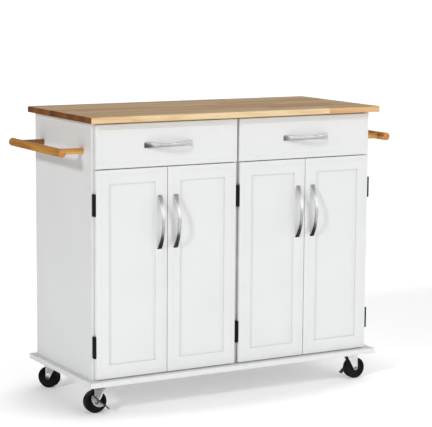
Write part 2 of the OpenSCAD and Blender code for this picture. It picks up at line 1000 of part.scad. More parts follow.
module caster_brake(n) {
    color(black) at_caster(n) translate([trail, brake_y, wheel_r]) rotate([0, -brake_tilt, 0])
    rotate([90, 0, 0]) mirror([0, 0, 1]) difference() {
        union() {
            linear_extrude(brake_t) intersection() {
                translate([0, brake_chord - brake_depth + brake_r]) circle(brake_r);
                translate([-brake_half, -brake_r]) square([2 * brake_half, brake_r + brake_chord]);
            }
            translate([-brake_arm, brake_chord, 0])
                cube([brake_arm + brake_half, brake_flange_t, brake_flange_w]);
        }
        translate([0, 0, -cut]) cylinder(h = brake_t + 2 * cut, r = axle_r + running);
    }
}

module caster_front_left_fork() {
    caster_fork(0);
}

module caster_front_left_wheel() {
    caster_wheel(0);
}

module caster_front_left_axle() {
    caster_axle(0, true);
}

module caster_front_left_brake() {
    caster_brake(0);
}

module caster_front_right_fork() {
    caster_fork(1);
}

module caster_front_right_wheel() {
    caster_wheel(1);
}

module caster_front_right_axle() {
    caster_axle(1, true);
}

module caster_front_right_brake() {
    caster_brake(1);
}

module caster_rear_left_fork() {
    caster_fork(2);
}

module caster_rear_left_wheel() {
    caster_wheel(2);
}

module caster_rear_left_axle() {
    caster_axle(2, false);
}

module caster_rear_right_fork() {
    caster_fork(3);
}

module caster_rear_right_wheel() {
    caster_wheel(3);
}

module caster_rear_right_axle() {
    caster_axle(3, false);
}

worktop();
base_board();
side_panel_left();
side_panel_right();
centre_divider();
back_panel();
cross_rails();
shelf_left();
shelf_right();
shelf_pins();
towel_bar_left();
towel_bar_right();
towel_bar_posts();
drawer_runners_fixed();
hinge_frame_leaves();
hinge_pins();
hinge_screws();
door_catches();
assembly_screws();
caster_plates();
drawer_left_front();
drawer_left_box();
drawer_left_bottom();
drawer_left_pull();
drawer_left_runners();
drawer_right_front();
drawer_right_box();
drawer_right_bottom();
drawer_right_pull();
drawer_right_runners();
door_1_frame();
door_1_panel();
door_1_pull();
door_1_hinge_leaves();
door_2_frame();
door_2_panel();
door_2_pull();
door_2_hinge_leaves();
door_3_frame();
door_3_panel();
door_3_pull();
door_3_hinge_leaves();
door_4_frame();
door_4_panel();
door_4_pull();
door_4_hinge_leaves();
caster_front_left_fork();
caster_front_left_wheel();
caster_front_left_axle();
caster_front_left_brake();
caster_front_right_fork();
caster_front_right_wheel();
caster_front_right_axle();
caster_front_right_brake();
caster_rear_left_fork();
caster_rear_left_wheel();
caster_rear_left_axle();
caster_rear_right_fork();
caster_rear_right_wheel();
caster_rear_right_axle();
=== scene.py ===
import math

import bmesh
import bpy
import numpy as np
from mathutils import Matrix, Vector
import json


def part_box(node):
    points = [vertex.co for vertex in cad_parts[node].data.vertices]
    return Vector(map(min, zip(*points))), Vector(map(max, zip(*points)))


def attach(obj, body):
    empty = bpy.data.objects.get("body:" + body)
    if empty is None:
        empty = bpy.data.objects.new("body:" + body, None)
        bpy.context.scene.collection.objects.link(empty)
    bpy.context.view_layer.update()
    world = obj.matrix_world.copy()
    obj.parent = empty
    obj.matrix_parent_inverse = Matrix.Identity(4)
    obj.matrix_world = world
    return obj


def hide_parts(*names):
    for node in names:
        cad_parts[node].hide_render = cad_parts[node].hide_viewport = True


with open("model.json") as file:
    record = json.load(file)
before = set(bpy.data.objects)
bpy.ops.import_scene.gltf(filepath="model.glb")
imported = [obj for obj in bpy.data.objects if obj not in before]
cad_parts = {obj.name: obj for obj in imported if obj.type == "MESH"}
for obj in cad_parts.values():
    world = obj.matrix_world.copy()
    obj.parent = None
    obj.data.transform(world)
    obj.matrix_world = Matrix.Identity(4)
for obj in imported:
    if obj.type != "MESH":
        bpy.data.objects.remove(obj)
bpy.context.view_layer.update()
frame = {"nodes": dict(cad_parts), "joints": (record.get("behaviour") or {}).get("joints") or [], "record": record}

# A kitchen island cart: a butcher-block top on a white cabinet with drawers and panelled doors,
# bow pulls, a wooden towel bar at each end and four swivel casters. Metres, in the CAD's frame.

MM = 0.001
TURN = 2 * math.pi
JOINTS = {j["name"]: j for j in frame["joints"]}
DOORS = (1, 2, 3, 4)
DRAWERS = ("left", "right")
CASTERS = ("front_left", "front_right", "rear_left", "rear_right")
BRAKED = ("front_left", "front_right")


# ---- Mesh building ----


def box_of(node):
    """A CAD node's lowest and highest corners as arrays."""
    low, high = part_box(node)
    return np.array(low), np.array(high)


def grid(points, wrap_rows=False, wrap_columns=False, caps=False):
    """Vertices and faces of the surface through points[row, column], closed round where it
    wraps, and with each end ring filled by one face where caps is set."""
    rows, columns = points.shape[:2]
    index = np.arange(rows * columns).reshape(rows, columns)
    if wrap_rows:
        index = np.vstack([index, index[:1]])
    if wrap_columns:
        index = np.hstack([index, index[:, :1]])
    quads = np.stack([index[:-1, :-1], index[:-1, 1:], index[1:, 1:], index[1:, :-1]], axis=-1)
    faces = quads.reshape(-1, 4).tolist()
    if caps:
        ring = index[:, :columns]
        faces += [ring[0].tolist(), ring[-1].tolist()]
    return points.reshape(-1, 3), faces


def joined(*shapes):
    """Several (vertices, faces) shapes as one."""
    vertices, faces, start = [], [], 0
    for v, f in shapes:
        vertices.append(v)
        faces += [[i + start for i in face] for face in f]
        start += len(v)
    return np.vstack(vertices), faces


def placed(shape, origin, x_axis=(1, 0, 0), y_axis=(0, 1, 0), z_axis=(0, 0, 1)):
    """A shape with its own axes laid along the given ones and its own origin at origin."""
    vertices, faces = shape
    return vertices @ np.array([x_axis, y_axis, z_axis], float) + np.array(origin, float), faces


def lathe(profile, steps=96, closed=False):
    """Profile of (radius, height) points turned about Z: (r cos t, r sin t, h). A closed profile
    comes back to its first point, and an open one has its two end rings filled."""
    profile = np.array(profile, float)
    turn = np.arange(steps) * TURN / steps
    radius, height = profile[:, :1], profile[:, 1:]
    points = np.stack([radius * np.cos(turn), radius * np.sin(turn), height + 0 * turn], axis=-1)
    return grid(points, wrap_rows=closed, wrap_columns=True, caps=not closed)


def on_circle(centre, radius, turn):
    """Points on a circle at one or more angles in radians."""
    return np.stack([centre[0] + radius * np.cos(turn), centre[1] + radius * np.sin(turn)], axis=-1)


def arc(centre, radius, start, stop, count=5):
    """Points on a circle of the given centre and radius, from one angle to another in degrees."""
    return on_circle(centre, radius, np.radians(np.linspace(start, stop, count)))


def eased_block(low, high, ease, steps=3):
    """A box with every edge rounded: for each direction n on a sphere, the corner that n points
    to, drawn in by the radius, plus n times the radius. Rows are heights, columns go round."""
    low, high = np.array(low, float), np.array(high, float)
    quarter = np.linspace(0, math.pi / 2, steps + 1)
    around = np.concatenate([quarter + k * math.pi / 2 for k in range(4)])
    corner_x = np.repeat([1, -1, -1, 1], steps + 1)
    corner_y = np.repeat([1, 1, -1, -1], steps + 1)
    rise = np.concatenate([quarter - math.pi / 2, quarter])
    corner_z = np.repeat([-1, 1], steps + 1)
    half, middle = (high - low) / 2 - ease, (high + low) / 2
    flat = np.cos(rise)[:, None]
    x = middle[0] + corner_x * half[0] + ease * flat * np.cos(around)
    y = middle[1] + corner_y * half[1] + ease * flat * np.sin(around)
    z = (middle[2] + corner_z * half[2] + ease * np.sin(rise))[:, None] + 0 * x
    return grid(np.stack([x, y, z], axis=-1), wrap_columns=True, caps=True)


def rectangle_rings(low, high, rings):
    """One rectangular ring for each (inset, depth) in rings: its four corners, drawn in from the
    box's outline in X and Z by the inset, at the depth along Y."""
    inset, depth = np.array(rings, float).T
    x = np.stack([low[0] + inset, high[0] - inset, high[0] - inset, low[0] + inset], axis=-1)
    z = np.stack([low[2] + inset, low[2] + inset, high[2] - inset, high[2] - inset], axis=-1)
    return np.stack([x, depth[:, None] + 0 * x, z], axis=-1)


def plate(outline, thickness, ease):
    """A flat plate in XY from z = 0 up: rings of the outline, drawn in along its normals by
    ease (1 - sin a) as z leaves each face by ease (1 - cos a)."""
    outline = np.array(outline, float)
    along = np.roll(outline, -1, axis=0) - np.roll(outline, 1, axis=0)
    normal = np.stack([along[:, 1], -along[:, 0]], axis=-1)
    normal /= np.linalg.norm(normal, axis=1, keepdims=True)
    quarter = np.linspace(0, math.pi / 2, 4)
    inset = ease * (1 - np.sin(np.concatenate([quarter, quarter[::-1]])))
    rise = ease * (1 - np.cos(quarter))
    height = np.concatenate([rise, thickness - rise[::-1]])
    points = outline[None] - inset[:, None, None] * normal[None]
    points = np.concatenate([points, height[:, None, None] + 0 * points[..., :1]], axis=-1)
    return grid(points, wrap_columns=True, caps=True)


def sheet_solid(outer, inner):
    """A bent plate between two surfaces given on the same grid: both skins, and the strip of
    faces that joins their borders."""
    rows, columns = outer.shape[:2]
    index = np.arange(rows * columns).reshape(rows, columns)
    border = np.concatenate([index[0], index[1:, -1], index[-1, -2::-1], index[-2:0:-1, 0]])
    after, offset = np.roll(border, -1), rows * columns
    strip = np.stack([border, after, after + offset, border + offset], axis=-1)
    first, second = grid(outer), grid(inner)
    faces = first[1] + [[i + offset for i in f[::-1]] for f in second[1]] + strip.tolist()
    return np.vstack([first[0], second[0]]), faces


def rounded_rectangle(width, depth, radius, steps=6):
    """Outline of a rectangle about the origin with round corners."""
    x, y = width / 2 - radius, depth / 2 - radius
    corners = [(x, y, 0), (-x, y, 90), (-x, -y, 180), (x, -y, 270)]
    return np.vstack([arc((cx, cy), radius, a, a + 90, steps) for cx, cy, a in corners])


def new_piece(name, body, material, shape, nodes=(), sharp=32, crisp=True):
    """Makes a piece from a shape, closes its seams, turns its faces outwards, and has it ride on
    a body. Edges sharper than the angle in degrees stay sharp, and crisp keeps flat faces flat."""
    vertices, faces = shape
    mesh = bpy.data.meshes.new(name)
    mesh.from_pydata(vertices.tolist(), [], faces)
    work = bmesh.new()
    work.from_mesh(mesh)
    bmesh.ops.remove_doubles(work, verts=work.verts, dist=1e-6)
    bmesh.ops.dissolve_degenerate(work, edges=work.edges, dist=1e-7)
    bmesh.ops.recalc_face_normals(work, faces=work.faces)
    work.to_mesh(mesh)
    work.free()
    mesh.polygons.foreach_set("use_smooth", [True] * len(mesh.polygons))
    mesh.set_sharp_from_angle(angle=math.radians(sharp))
    mesh.materials.append(material)
    piece = bpy.data.objects.new(name, mesh)
    bpy.context.scene.collection.objects.link(piece)
    if crisp:
        weighted = piece.modifiers.new("flat faces", "WEIGHTED_NORMAL")
        weighted.keep_sharp = True
    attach(piece, body)
    if nodes:
        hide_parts(*nodes)
    return piece


# ---- Materials ----


def feed(tree, socket, value):
    """Links another node's output to a socket, or sets the socket to a constant."""
    if isinstance(value, bpy.types.NodeSocket):
        tree.links.new(value, socket)
    else:
        socket.default_value = value


def put(tree, kind, settings=None, **inputs):
    """Adds a shader node. settings are the node's own options, and inputs its sockets by name."""
    node = tree.nodes.new("ShaderNode" + kind)
    for key, value in (settings or {}).items():
        setattr(node, key, value)
    for key, value in inputs.items():
        socket = next(s for s in node.inputs if s.enabled and s.name.replace(" ", "_") == key)
        feed(tree, socket, value)
    return node


def maths(tree, operation, *values, clamp=False):
    """The output of a Math node on up to three values."""
    node = tree.nodes.new("ShaderNodeMath")
    node.operation, node.use_clamp = operation, clamp
    for socket, value in zip(node.inputs, values):
        feed(tree, socket, value)
    return node.outputs[0]


def vector_maths(tree, operation, *vectors):
    """The output of a Vector Math node on one or two vectors."""
    node = tree.nodes.new("ShaderNodeVectorMath")
    node.operation = operation
    for socket, value in zip(node.inputs, vectors):
        feed(tree, socket, value)
    return node.outputs["Value" if operation in ("DOT_PRODUCT", "LENGTH") else "Vector"]


def noise(tree, vector, scale=1.0, detail=2.0, roughness=0.5):
    """The value of a Noise Texture on the given coordinates."""
    return put(tree, "TexNoise", Vector=vector, Scale=scale, Detail=detail,
               Roughness=roughness).outputs["Fac"]


def stretched(tree, vector, scale):
    """Coordinates multiplied by a scale for each axis."""
    return put(tree, "Mapping", Vector=vector, Scale=scale).outputs[0]


def attribute(tree, name, output="Fac"):
    """What a piece's attribute says, as a number or as a vector."""
    return put(tree, "Attribute", {"attribute_name": name}).outputs[output]


def fade(tree, value, low, high, to_low=0.0, to_high=1.0):
    """value mapped from low..high to to_low..to_high, held at both ends."""
    node = put(tree, "MapRange", {"interpolation_type": "SMOOTHSTEP"}, Value=value, From_Min=low,
               From_Max=high, To_Min=to_low, To_Max=to_high)
    return node.outputs[0]


def blend(tree, factor, first, second):
    """Two numbers mixed by a factor."""
    return put(tree, "Mix", {"data_type": "FLOAT"}, Factor=factor, A=first, B=second).outputs[0]


def blend_colour(tree, factor, first, second):
    """Two colours mixed by a factor."""
    return put(tree, "Mix", {"data_type": "RGBA"}, Factor=factor, A=first,
               B=second).outputs["Result"]


def grey(value):
    """A grey in linear light."""
    return (value, value, value, 1)


def rgb(red, green, blue):
    """A colour given as screen values from 0 to 255, in linear light."""
    value = np.array([red, green, blue]) / 255
    linear = np.where(value <= 0.04045, value / 12.92, ((value + 0.055) / 1.055) ** 2.4)
    return (*linear.tolist(), 1.0)


def shader_group(name, inputs, outputs):
    """An empty shader node group with named inputs as (name, kind, default) and outputs as (name,
    kind). Returns its tree, its input node's outputs and its output node."""
    tree = bpy.data.node_groups.new(name, "ShaderNodeTree")
    for label, kind, default in inputs:
        socket = tree.interface.new_socket(label, in_out="INPUT", socket_type="NodeSocket" + kind)
        if default is not None:
            socket.default_value = default
    for label, kind in outputs:
        tree.interface.new_socket(label, in_out="OUTPUT", socket_type="NodeSocket" + kind)
    return tree, tree.nodes.new("NodeGroupInput").outputs, tree.nodes.new("NodeGroupOutput")


def finish_group(tree, output, **values):
    """Links a group's results to its output node."""
    for key, value in values.items():
        tree.links.new(value, output.inputs[key])
    return tree


# How many times each pattern of the wood repeats in a metre, along and across the fibres
STREAKS_PER_M = (2.2, 60, 60)
PORES_PER_M = (40, 1100, 1100)
WAVES_PER_M = (1.1, 9, 9)


def grain_group():
    """Wood grain on coordinates whose X runs along the fibres: long streaks, fine pores and slow
    waves of the rings. Puts out the colour, the height and the roughness."""
    tree, given, out = shader_group("wood grain", [
        ("Vector", "Vector", None), ("Seed", "Float", 0.0), ("Light", "Color", None),
        ("Dark", "Color", None), ("Streaks", "Float", 1.0), ("Ring Pitch", "Float", 0.012),
        ("Gloss", "Float", 0.4)], [("Color", "Color"), ("Height", "Float"), ("Roughness", "Float")])
    shift = put(tree, "CombineXYZ", X=maths(tree, "MULTIPLY", given["Seed"], 7.3),
                Y=maths(tree, "MULTIPLY", given["Seed"], 3.1),
                Z=maths(tree, "MULTIPLY", given["Seed"], 5.7)).outputs[0]
    where = vector_maths(tree, "ADD", given["Vector"], shift)
    streak = noise(tree, stretched(tree, where, STREAKS_PER_M), detail=4.0, roughness=0.62)
    pores = noise(tree, stretched(tree, where, PORES_PER_M), detail=1.0)
    drift = noise(tree, stretched(tree, where, WAVES_PER_M))
    across = put(tree, "SeparateXYZ", Vector=where).outputs["Y"]
    phase = maths(tree, "ADD", maths(tree, "DIVIDE", across, given["Ring Pitch"]),
                  maths(tree, "MULTIPLY", drift, 9.0))
    ring = maths(tree, "SINE", maths(tree, "MULTIPLY", phase, TURN))
    ring = maths(tree, "POWER", maths(tree, "MULTIPLY_ADD", ring, 0.5, 0.5), 2.0)
    dark = maths(tree, "ADD", maths(tree, "MULTIPLY", fade(tree, streak, 0.38, 0.7), 0.65),
                 maths(tree, "MULTIPLY", ring, 0.35))
    dark = maths(tree, "MULTIPLY", dark, given["Streaks"], clamp=True)
    pit = fade(tree, pores, 0.62, 0.74)
    colour = blend_colour(tree, dark, given["Light"], given["Dark"])
    colour = blend_colour(tree, maths(tree, "MULTIPLY", pit, 0.28), colour, rgb(92, 58, 28))
    height = maths(tree, "SUBTRACT", maths(tree, "MULTIPLY", streak, 0.25), pit)
    rough = maths(tree, "ADD", given["Gloss"], maths(tree, "MULTIPLY", dark, 0.12))
    return finish_group(tree, out, Color=colour, Height=height, Roughness=rough)


# Rubs run up and down: they are longer in Z
RUBS_PER_M = (30, 30, 8)


def paint_group():
    """Sprayed paint: a fine orange-peel height, a slow drift of tone, and faint handling marks.
    Puts out a tone from 0 to 1, the height and a change of roughness."""
    tree, given, out = shader_group("sprayed paint", [
        ("Vector", "Vector", None), ("Peel Size", "Float", 0.0022), ("Patch Size", "Float", 0.16)],
        [("Tone", "Float"), ("Height", "Float"), ("Rub", "Float")])
    where = given["Vector"]
    peel = noise(tree, where, maths(tree, "DIVIDE", 1.0, given["Peel Size"]))
    patch = noise(tree, where, maths(tree, "DIVIDE", 1.0, given["Patch Size"]), 3.0, 0.55)
    rub = noise(tree, stretched(tree, where, RUBS_PER_M), 1.0, 3.0, 0.6)
    return finish_group(tree, out, Tone=patch, Height=peel, Rub=fade(tree, rub, 0.45, 0.75))


def wear_group():
    """Fine scratches and a cloudy haze for metal and moulded plastic. Puts out a haze from 0 to 1
    and a height."""
    tree, given, out = shader_group("metal wear", [
        ("Vector", "Vector", None), ("Grain", "Vector", (60.0, 60.0, 60.0)),
        ("Haze Size", "Float", 0.02)], [("Haze", "Float"), ("Height", "Float")])
    where = given["Vector"]
    haze = noise(tree, where, maths(tree, "DIVIDE", 1.0, given["Haze Size"]), 4.0, 0.6)
    lines = noise(tree, vector_maths(tree, "MULTIPLY", where, given["Grain"]))
    return finish_group(tree, out, Haze=fade(tree, haze, 0.35, 0.7), Height=lines)


GRAIN, PAINT, WEAR = grain_group(), paint_group(), wear_group()


def new_material(name, **constants):
    """A material with a Principled BSDF. constants are set on the shader's own sockets. Returns
    the material, its tree, the shader and the object coordinates."""
    material = bpy.data.materials.new(name)
    material.use_nodes = True
    tree = material.node_tree
    shader = tree.nodes["Principled BSDF"]
    for key, value in constants.items():
        shader.inputs[key.replace("_", " ")].default_value = value
    return material, tree, shader, tree.nodes.new("ShaderNodeTexCoord").outputs["Object"]


def grouped(tree, group, **inputs):
    """A shader group placed in a material, with its inputs set."""
    node = tree.nodes.new("ShaderNodeGroup")
    node.node_tree = group
    for key, value in inputs.items():
        feed(tree, node.inputs[key.replace("_", " ")], value)
    return node.outputs


def bump(tree, shader, height, distance):
    """Links a height to the shader's normal, with the depth in metres that it stands for."""
    node = put(tree, "Bump", Height=height, Distance=distance, Strength=1.0)
    tree.links.new(node.outputs["Normal"], shader.inputs["Normal"])


def paint_material(name, light, dark, gloss, peel=0.0022, depth=0.00006):
    """Satin paint: a colour that drifts a little, and the sprayed surface's peel and rubs."""
    material, tree, shader, where = new_material(name)
    skin = grouped(tree, PAINT, Vector=where, Peel_Size=peel)
    colour = blend_colour(tree, fade(tree, skin["Tone"], 0.3, 0.7), light, dark)
    tree.links.new(colour, shader.inputs["Base Color"])
    rough = fade(tree, skin["Rub"], 0.0, 1.0, gloss, gloss + 0.08)
    tree.links.new(rough, shader.inputs["Roughness"])
    bump(tree, shader, skin["Height"], depth)
    return material


# Painted shade: the dark brown that the rear posts are drawn towards, in place of their shadow
REAR_POST_SHADE = rgb(104, 54, 18)


def turned_wood_material(name, light, dark):
    """Varnished round stock. The piece's "fibre" attribute holds the coordinates that the grain is
    drawn on, with X along the fibres, and "end grain" marks the cut ends. A third attribute says how
    far a part is drawn towards a dark brown as painted shade."""
    material, tree, shader, _ = new_material(name, Coat_Roughness=0.2, Coat_Weight=0.15,
                                             Specular_IOR_Level=0.35)
    fibre = attribute(tree, "fibre", "Vector")
    wood = grouped(tree, GRAIN, Vector=fibre, Seed=0.37, Light=light, Dark=dark,
                   Streaks=1.15, Ring_Pitch=0.007, Gloss=0.36)
    ends = grouped(tree, GRAIN, Vector=fibre, Seed=0.9, Light=rgb(206, 140, 74),
                   Dark=rgb(160, 98, 44), Streaks=0.8, Ring_Pitch=0.004, Gloss=0.6)
    colour = blend_colour(tree, attribute(tree, "end grain"), wood["Color"], ends["Color"])
    # Painted shade: parts that this attribute marks are drawn towards the dark brown
    colour = blend_colour(tree, attribute(tree, "heartwood"), colour, REAR_POST_SHADE)
    tree.links.new(colour, shader.inputs["Base Color"])
    tree.links.new(wood["Roughness"], shader.inputs["Roughness"])
    bump(tree, shader, wood["Height"], 0.00008)
    return material


# The worktop's staves: their width, their usual length, where the front row's joint lies, how far
# each row is shifted against the last as a share of a stave, and half of each glue line's width
STAVE_W = 457 / 11 * MM
STAVE_L = 689 * MM
FRONT_JOINT_X = -373 * MM
STAVE_STAGGER = 0.618
SIDE_SEAM = 0.35 * MM
BUTT_SEAM = 0.4 * MM
# The pith of each stave lies below it, so its end shows the rings as arcs
PITH_SCALE = 14.0
PITH_LEVEL = 11.5
RINGS = 46.0
END_PORES_PER_M = 900.0


def stave_place(tree, where, front_edge):
    """Which row a spot is in, counted from the front, and how many staves it lies back from the
    front edge and along from its row's joint."""
    spot = put(tree, "SeparateXYZ", Vector=where).outputs
    back = maths(tree, "DIVIDE", maths(tree, "SUBTRACT", spot["Y"], front_edge), STAVE_W)
    row = maths(tree, "FLOOR", back)
    stagger = maths(tree, "FRACT", maths(tree, "MULTIPLY", row, STAVE_STAGGER))
    along = maths(tree, "DIVIDE", maths(tree, "SUBTRACT", spot["X"], FRONT_JOINT_X), STAVE_L)
    return row, back, maths(tree, "ADD", along, stagger)


def stave_tone(tree, row, stave):
    """A tone from 0 to 1 and a seed for each stave, both random. In the front row the middle stave
    is the palest, and the right one is darker than the left."""
    cell = put(tree, "CombineXYZ", X=row, Y=stave, Z=4.0).outputs[0]
    random = put(tree, "TexWhiteNoise", {"noise_dimensions": "3D"}, Vector=cell).outputs
    seed = put(tree, "SeparateColor", Color=random["Color"]).outputs["Green"]
    front_tone = maths(tree, "MULTIPLY", maths(tree, "ABSOLUTE", stave), 0.5)
    front_tone = maths(tree, "MULTIPLY_ADD", stave, 0.2, front_tone, clamp=True)
    in_front = maths(tree, "COMPARE", row, 0.0, 0.1)
    return blend(tree, in_front, random["Value"], front_tone), seed


def off_middle(tree, place):
    """How far along or across its stave a spot lies, from -0.5 to 0.5."""
    return maths(tree, "SUBTRACT", maths(tree, "FRACT", place), 0.5)


def glue_lines(tree, back, along):
    """1 on the glue lines at a stave's sides and ends, and 0 elsewhere."""
    side = maths(tree, "ABSOLUTE", off_middle(tree, back))
    butt = maths(tree, "ABSOLUTE", off_middle(tree, along))
    return maths(tree, "MAXIMUM", fade(tree, side, 0.5 - SIDE_SEAM / STAVE_W, 0.5),
                 fade(tree, butt, 0.5 - BUTT_SEAM / STAVE_L, 0.5))


def sawn_end_colour(tree, where, back, tone, seam):
    """A stave's sawn end: its own tone, arcs of the rings about its pith, pores and glue lines."""
    turned = put(tree, "Mapping", Vector=where, Rotation=(0, 0, 0.4)).outputs[0]
    pores = put(tree, "TexVoronoi", Vector=turned, Scale=END_PORES_PER_M).outputs["Distance"]
    level = put(tree, "SeparateXYZ", Vector=where).outputs["Z"]
    level = maths(tree, "ADD", maths(tree, "MULTIPLY", level, PITH_SCALE), -PITH_LEVEL)
    from_pith = put(tree, "CombineXYZ", X=0.0, Y=off_middle(tree, back), Z=level).outputs[0]
    rings = maths(tree, "SINE", maths(tree, "MULTIPLY", vector_maths(tree, "LENGTH", from_pith), RINGS))
    colour = blend_colour(tree, tone, rgb(142, 88, 36), rgb(88, 48, 16))
    colour = blend_colour(tree, fade(tree, rings, -0.4, 1.0, 0.0, 0.35), colour, rgb(108, 62, 32))
    colour = blend_colour(tree, fade(tree, pores, 0.0, 0.35, 0.4, 0.0), colour, rgb(92, 54, 30))
    return blend_colour(tree, maths(tree, "MULTIPLY", seam, 0.6), colour, rgb(80, 46, 24))


def worktop_material(low):
    """Glued staves that run along X. Row and stave numbers come from the place on the top, and
    each stave has its own tone and its own stretch of grain. The ends show end grain. The first
    row starts just before the front edge, so that no glue line lies on it."""
    material, tree, shader, where = new_material("butcher block", Coat_Roughness=0.22)
    row, back, along = stave_place(tree, where, float(low[1]) - MM)
    tone, seed = stave_tone(tree, row, maths(tree, "FLOOR", along))
    light = blend_colour(tree, tone, rgb(232, 206, 160), rgb(218, 164, 100))
    dark = blend_colour(tree, tone, rgb(212, 172, 116), rgb(188, 124, 60))
    wood = grouped(tree, GRAIN, Vector=where, Seed=seed, Light=light, Dark=dark, Streaks=0.9,
                   Ring_Pitch=0.014, Gloss=0.32)
    seam = glue_lines(tree, back, along)
    colour = blend_colour(tree, maths(tree, "MULTIPLY", seam, 0.55), wood["Color"], rgb(120, 76, 38))
    cut = attribute(tree, "end grain")
    colour = blend_colour(tree, cut, colour, sawn_end_colour(tree, where, back, tone, seam))
    tree.links.new(colour, shader.inputs["Base Color"])
    rough = maths(tree, "ADD", wood["Roughness"], maths(tree, "MULTIPLY", cut, 0.4))
    tree.links.new(rough, shader.inputs["Roughness"])
    tree.links.new(maths(tree, "MULTIPLY_ADD", cut, -0.3, 0.3), shader.inputs["Coat Weight"])
    height = maths(tree, "SUBTRACT", wood["Height"], maths(tree, "MULTIPLY", seam, 2.0))
    bump(tree, shader, height, 0.00007)
    return material


def metal_material(name, bright, dull, rough, grain=(60.0, 60.0, 60.0), depth=0.00002, haze=0.02,
                   metallic=1.0, specular=0.5):
    """Plated or bare metal, or a moulding where metallic is 0: the colour and the roughness drift
    with the haze, over fine scratches."""
    material, tree, shader, where = new_material(name, Metallic=metallic, Specular_IOR_Level=specular)
    worn = grouped(tree, WEAR, Vector=where, Grain=grain, Haze_Size=haze)
    tree.links.new(blend_colour(tree, worn["Haze"], bright, dull), shader.inputs["Base Color"])
    tree.links.new(fade(tree, worn["Haze"], 0.0, 1.0, rough, rough + 0.12), shader.inputs["Roughness"])
    bump(tree, shader, worn["Height"], depth)
    return material


WHITE = paint_material("white paint", (0.752, 0.758, 0.760, 1), (0.736, 0.742, 0.744, 1), 0.36)
# The inner boards: white melamine a little darker than the paint, partly its own tone and partly painted shade
# that deepens the gaps between the fronts
BOARD = paint_material("white board", rgb(216, 215, 212), rgb(208, 207, 204), 0.5, 0.0012, 0.00003)
RUNNER = paint_material("powder coat", rgb(226, 226, 222), rgb(212, 212, 208), 0.42, 0.0008, 0.00005)
CATCH = paint_material("white plastic", rgb(240, 240, 238), rgb(232, 232, 230), 0.34, 0.001, 0.00001)
PULL = metal_material("bright nickel", rgb(226, 226, 228), rgb(208, 208, 210), 0.16,
                      (300.0, 300.0, 40.0), 0.000006, 0.03)
HINGE = metal_material("black enamel", rgb(9, 9, 10), rgb(18, 18, 19), 0.4,
                       metallic=0.0, specular=0.3)
ZINC = metal_material("bright zinc", rgb(244, 245, 246), rgb(230, 232, 235), 0.24,
                      (220.0, 220.0, 60.0), 0.000006, 0.012, 0.8)
BOLT = metal_material("bolt zinc", rgb(176, 178, 182), rgb(140, 144, 150), 0.2, haze=0.008)
PEDAL = metal_material("black pedal", rgb(26, 26, 28), rgb(44, 44, 46), 0.4,
                       metallic=0.0)
WHEEL = metal_material("black nylon", rgb(8, 8, 9), rgb(16, 16, 17), 0.42, (400.0, 400.0, 400.0),
                       0.00003, 0.015, 0.0, 0.2)
BAR_WOOD = turned_wood_material("varnished bar", rgb(212, 152, 64), rgb(158, 100, 28))
# The posts' wood is the bar's wood made paler: painted light for their lit tops
LIT_POST_WOOD = turned_wood_material("varnished post painted paler", rgb(226, 176, 96), rgb(176, 120, 50))


def mark(piece, name, kind, values):
    """Stores one value per vertex as an attribute that the piece's material reads."""
    stored = piece.data.attributes.new(name, kind, "POINT")
    key = "vector" if kind == "FLOAT_VECTOR" else "value"
    stored.data.foreach_set(key, np.asarray(values, np.float32).ravel())


def vertices_of(piece):
    """The piece's vertices as an array."""
    flat = np.empty(len(piece.data.vertices) * 3)
    piece.data.vertices.foreach_get("co", flat)
    return flat.reshape(-1, 3)


# ---- Worktop, base board and cabinet ----


def make_worktop():
    """The top, with its edges eased by hand-sanding, and end grain marked at both ends."""
    low, high = box_of("worktop")
    piece = new_piece("worktop_block", "root", worktop_material(low),
                      eased_block(low, high, 1.6 * MM), ["worktop"])
    x = vertices_of(piece)[:, 0]
    mark(piece, "end grain", "FLOAT", (x < low[0] + 0.9 * MM) | (x > high[0] - 0.9 * MM))


def make_base_board():
    """The board that carries the cabinet."""
    low, high = box_of("base_board")
    new_piece("base_board_painted", "root", WHITE, eased_block(low, high, 1.8 * MM),
              ["base_board"])


# ---- Doors and drawer fronts ----

# The shallow bevel round a front: its width, its depth, and the small step at its inner edge
BEVEL_W = 15 * MM
BEVEL_D = 2.6 * MM
BEVEL_STEP = 0.8 * MM
# How far a front's edges are eased
EDGE = 0.9 * MM
# A door's frame: the width of its stiles, the height of its rails, and how deep its panel lies
STILE_W = 40 * MM
RAIL_H = 42 * MM
RECESS = 5 * MM


def front_profile(face, back):
    """(inset, depth) points from the back edge of a front, round its outer edge, up the bevel and
    over the small step to its flat face."""
    lip = face + BEVEL_D
    return [
        (EDGE, back), (0.3 * EDGE, back - 0.3 * EDGE), (0, back - EDGE),
        (0, lip + EDGE), (0.3 * EDGE, lip + 0.25 * EDGE), (EDGE, lip),
        (BEVEL_W - 0.7 * MM, face + BEVEL_STEP), (BEVEL_W, face + BEVEL_STEP + 0.1 * MM),
        (BEVEL_W + 0.35 * MM, face + 0.12 * MM), (BEVEL_W + 0.8 * MM, face),
    ]


def make_drawer_front(side):
    """Rectangular rings of the front's profile, closed by one face at the back and one in front."""
    low, high = box_of(f"drawer_{side}_front")
    rings = rectangle_rings(low, high, front_profile(low[1], high[1]))
    new_piece(f"drawer_{side}_face", f"drawer_{side}", WHITE,
              grid(rings, wrap_columns=True, caps=True), [f"drawer_{side}_front"])


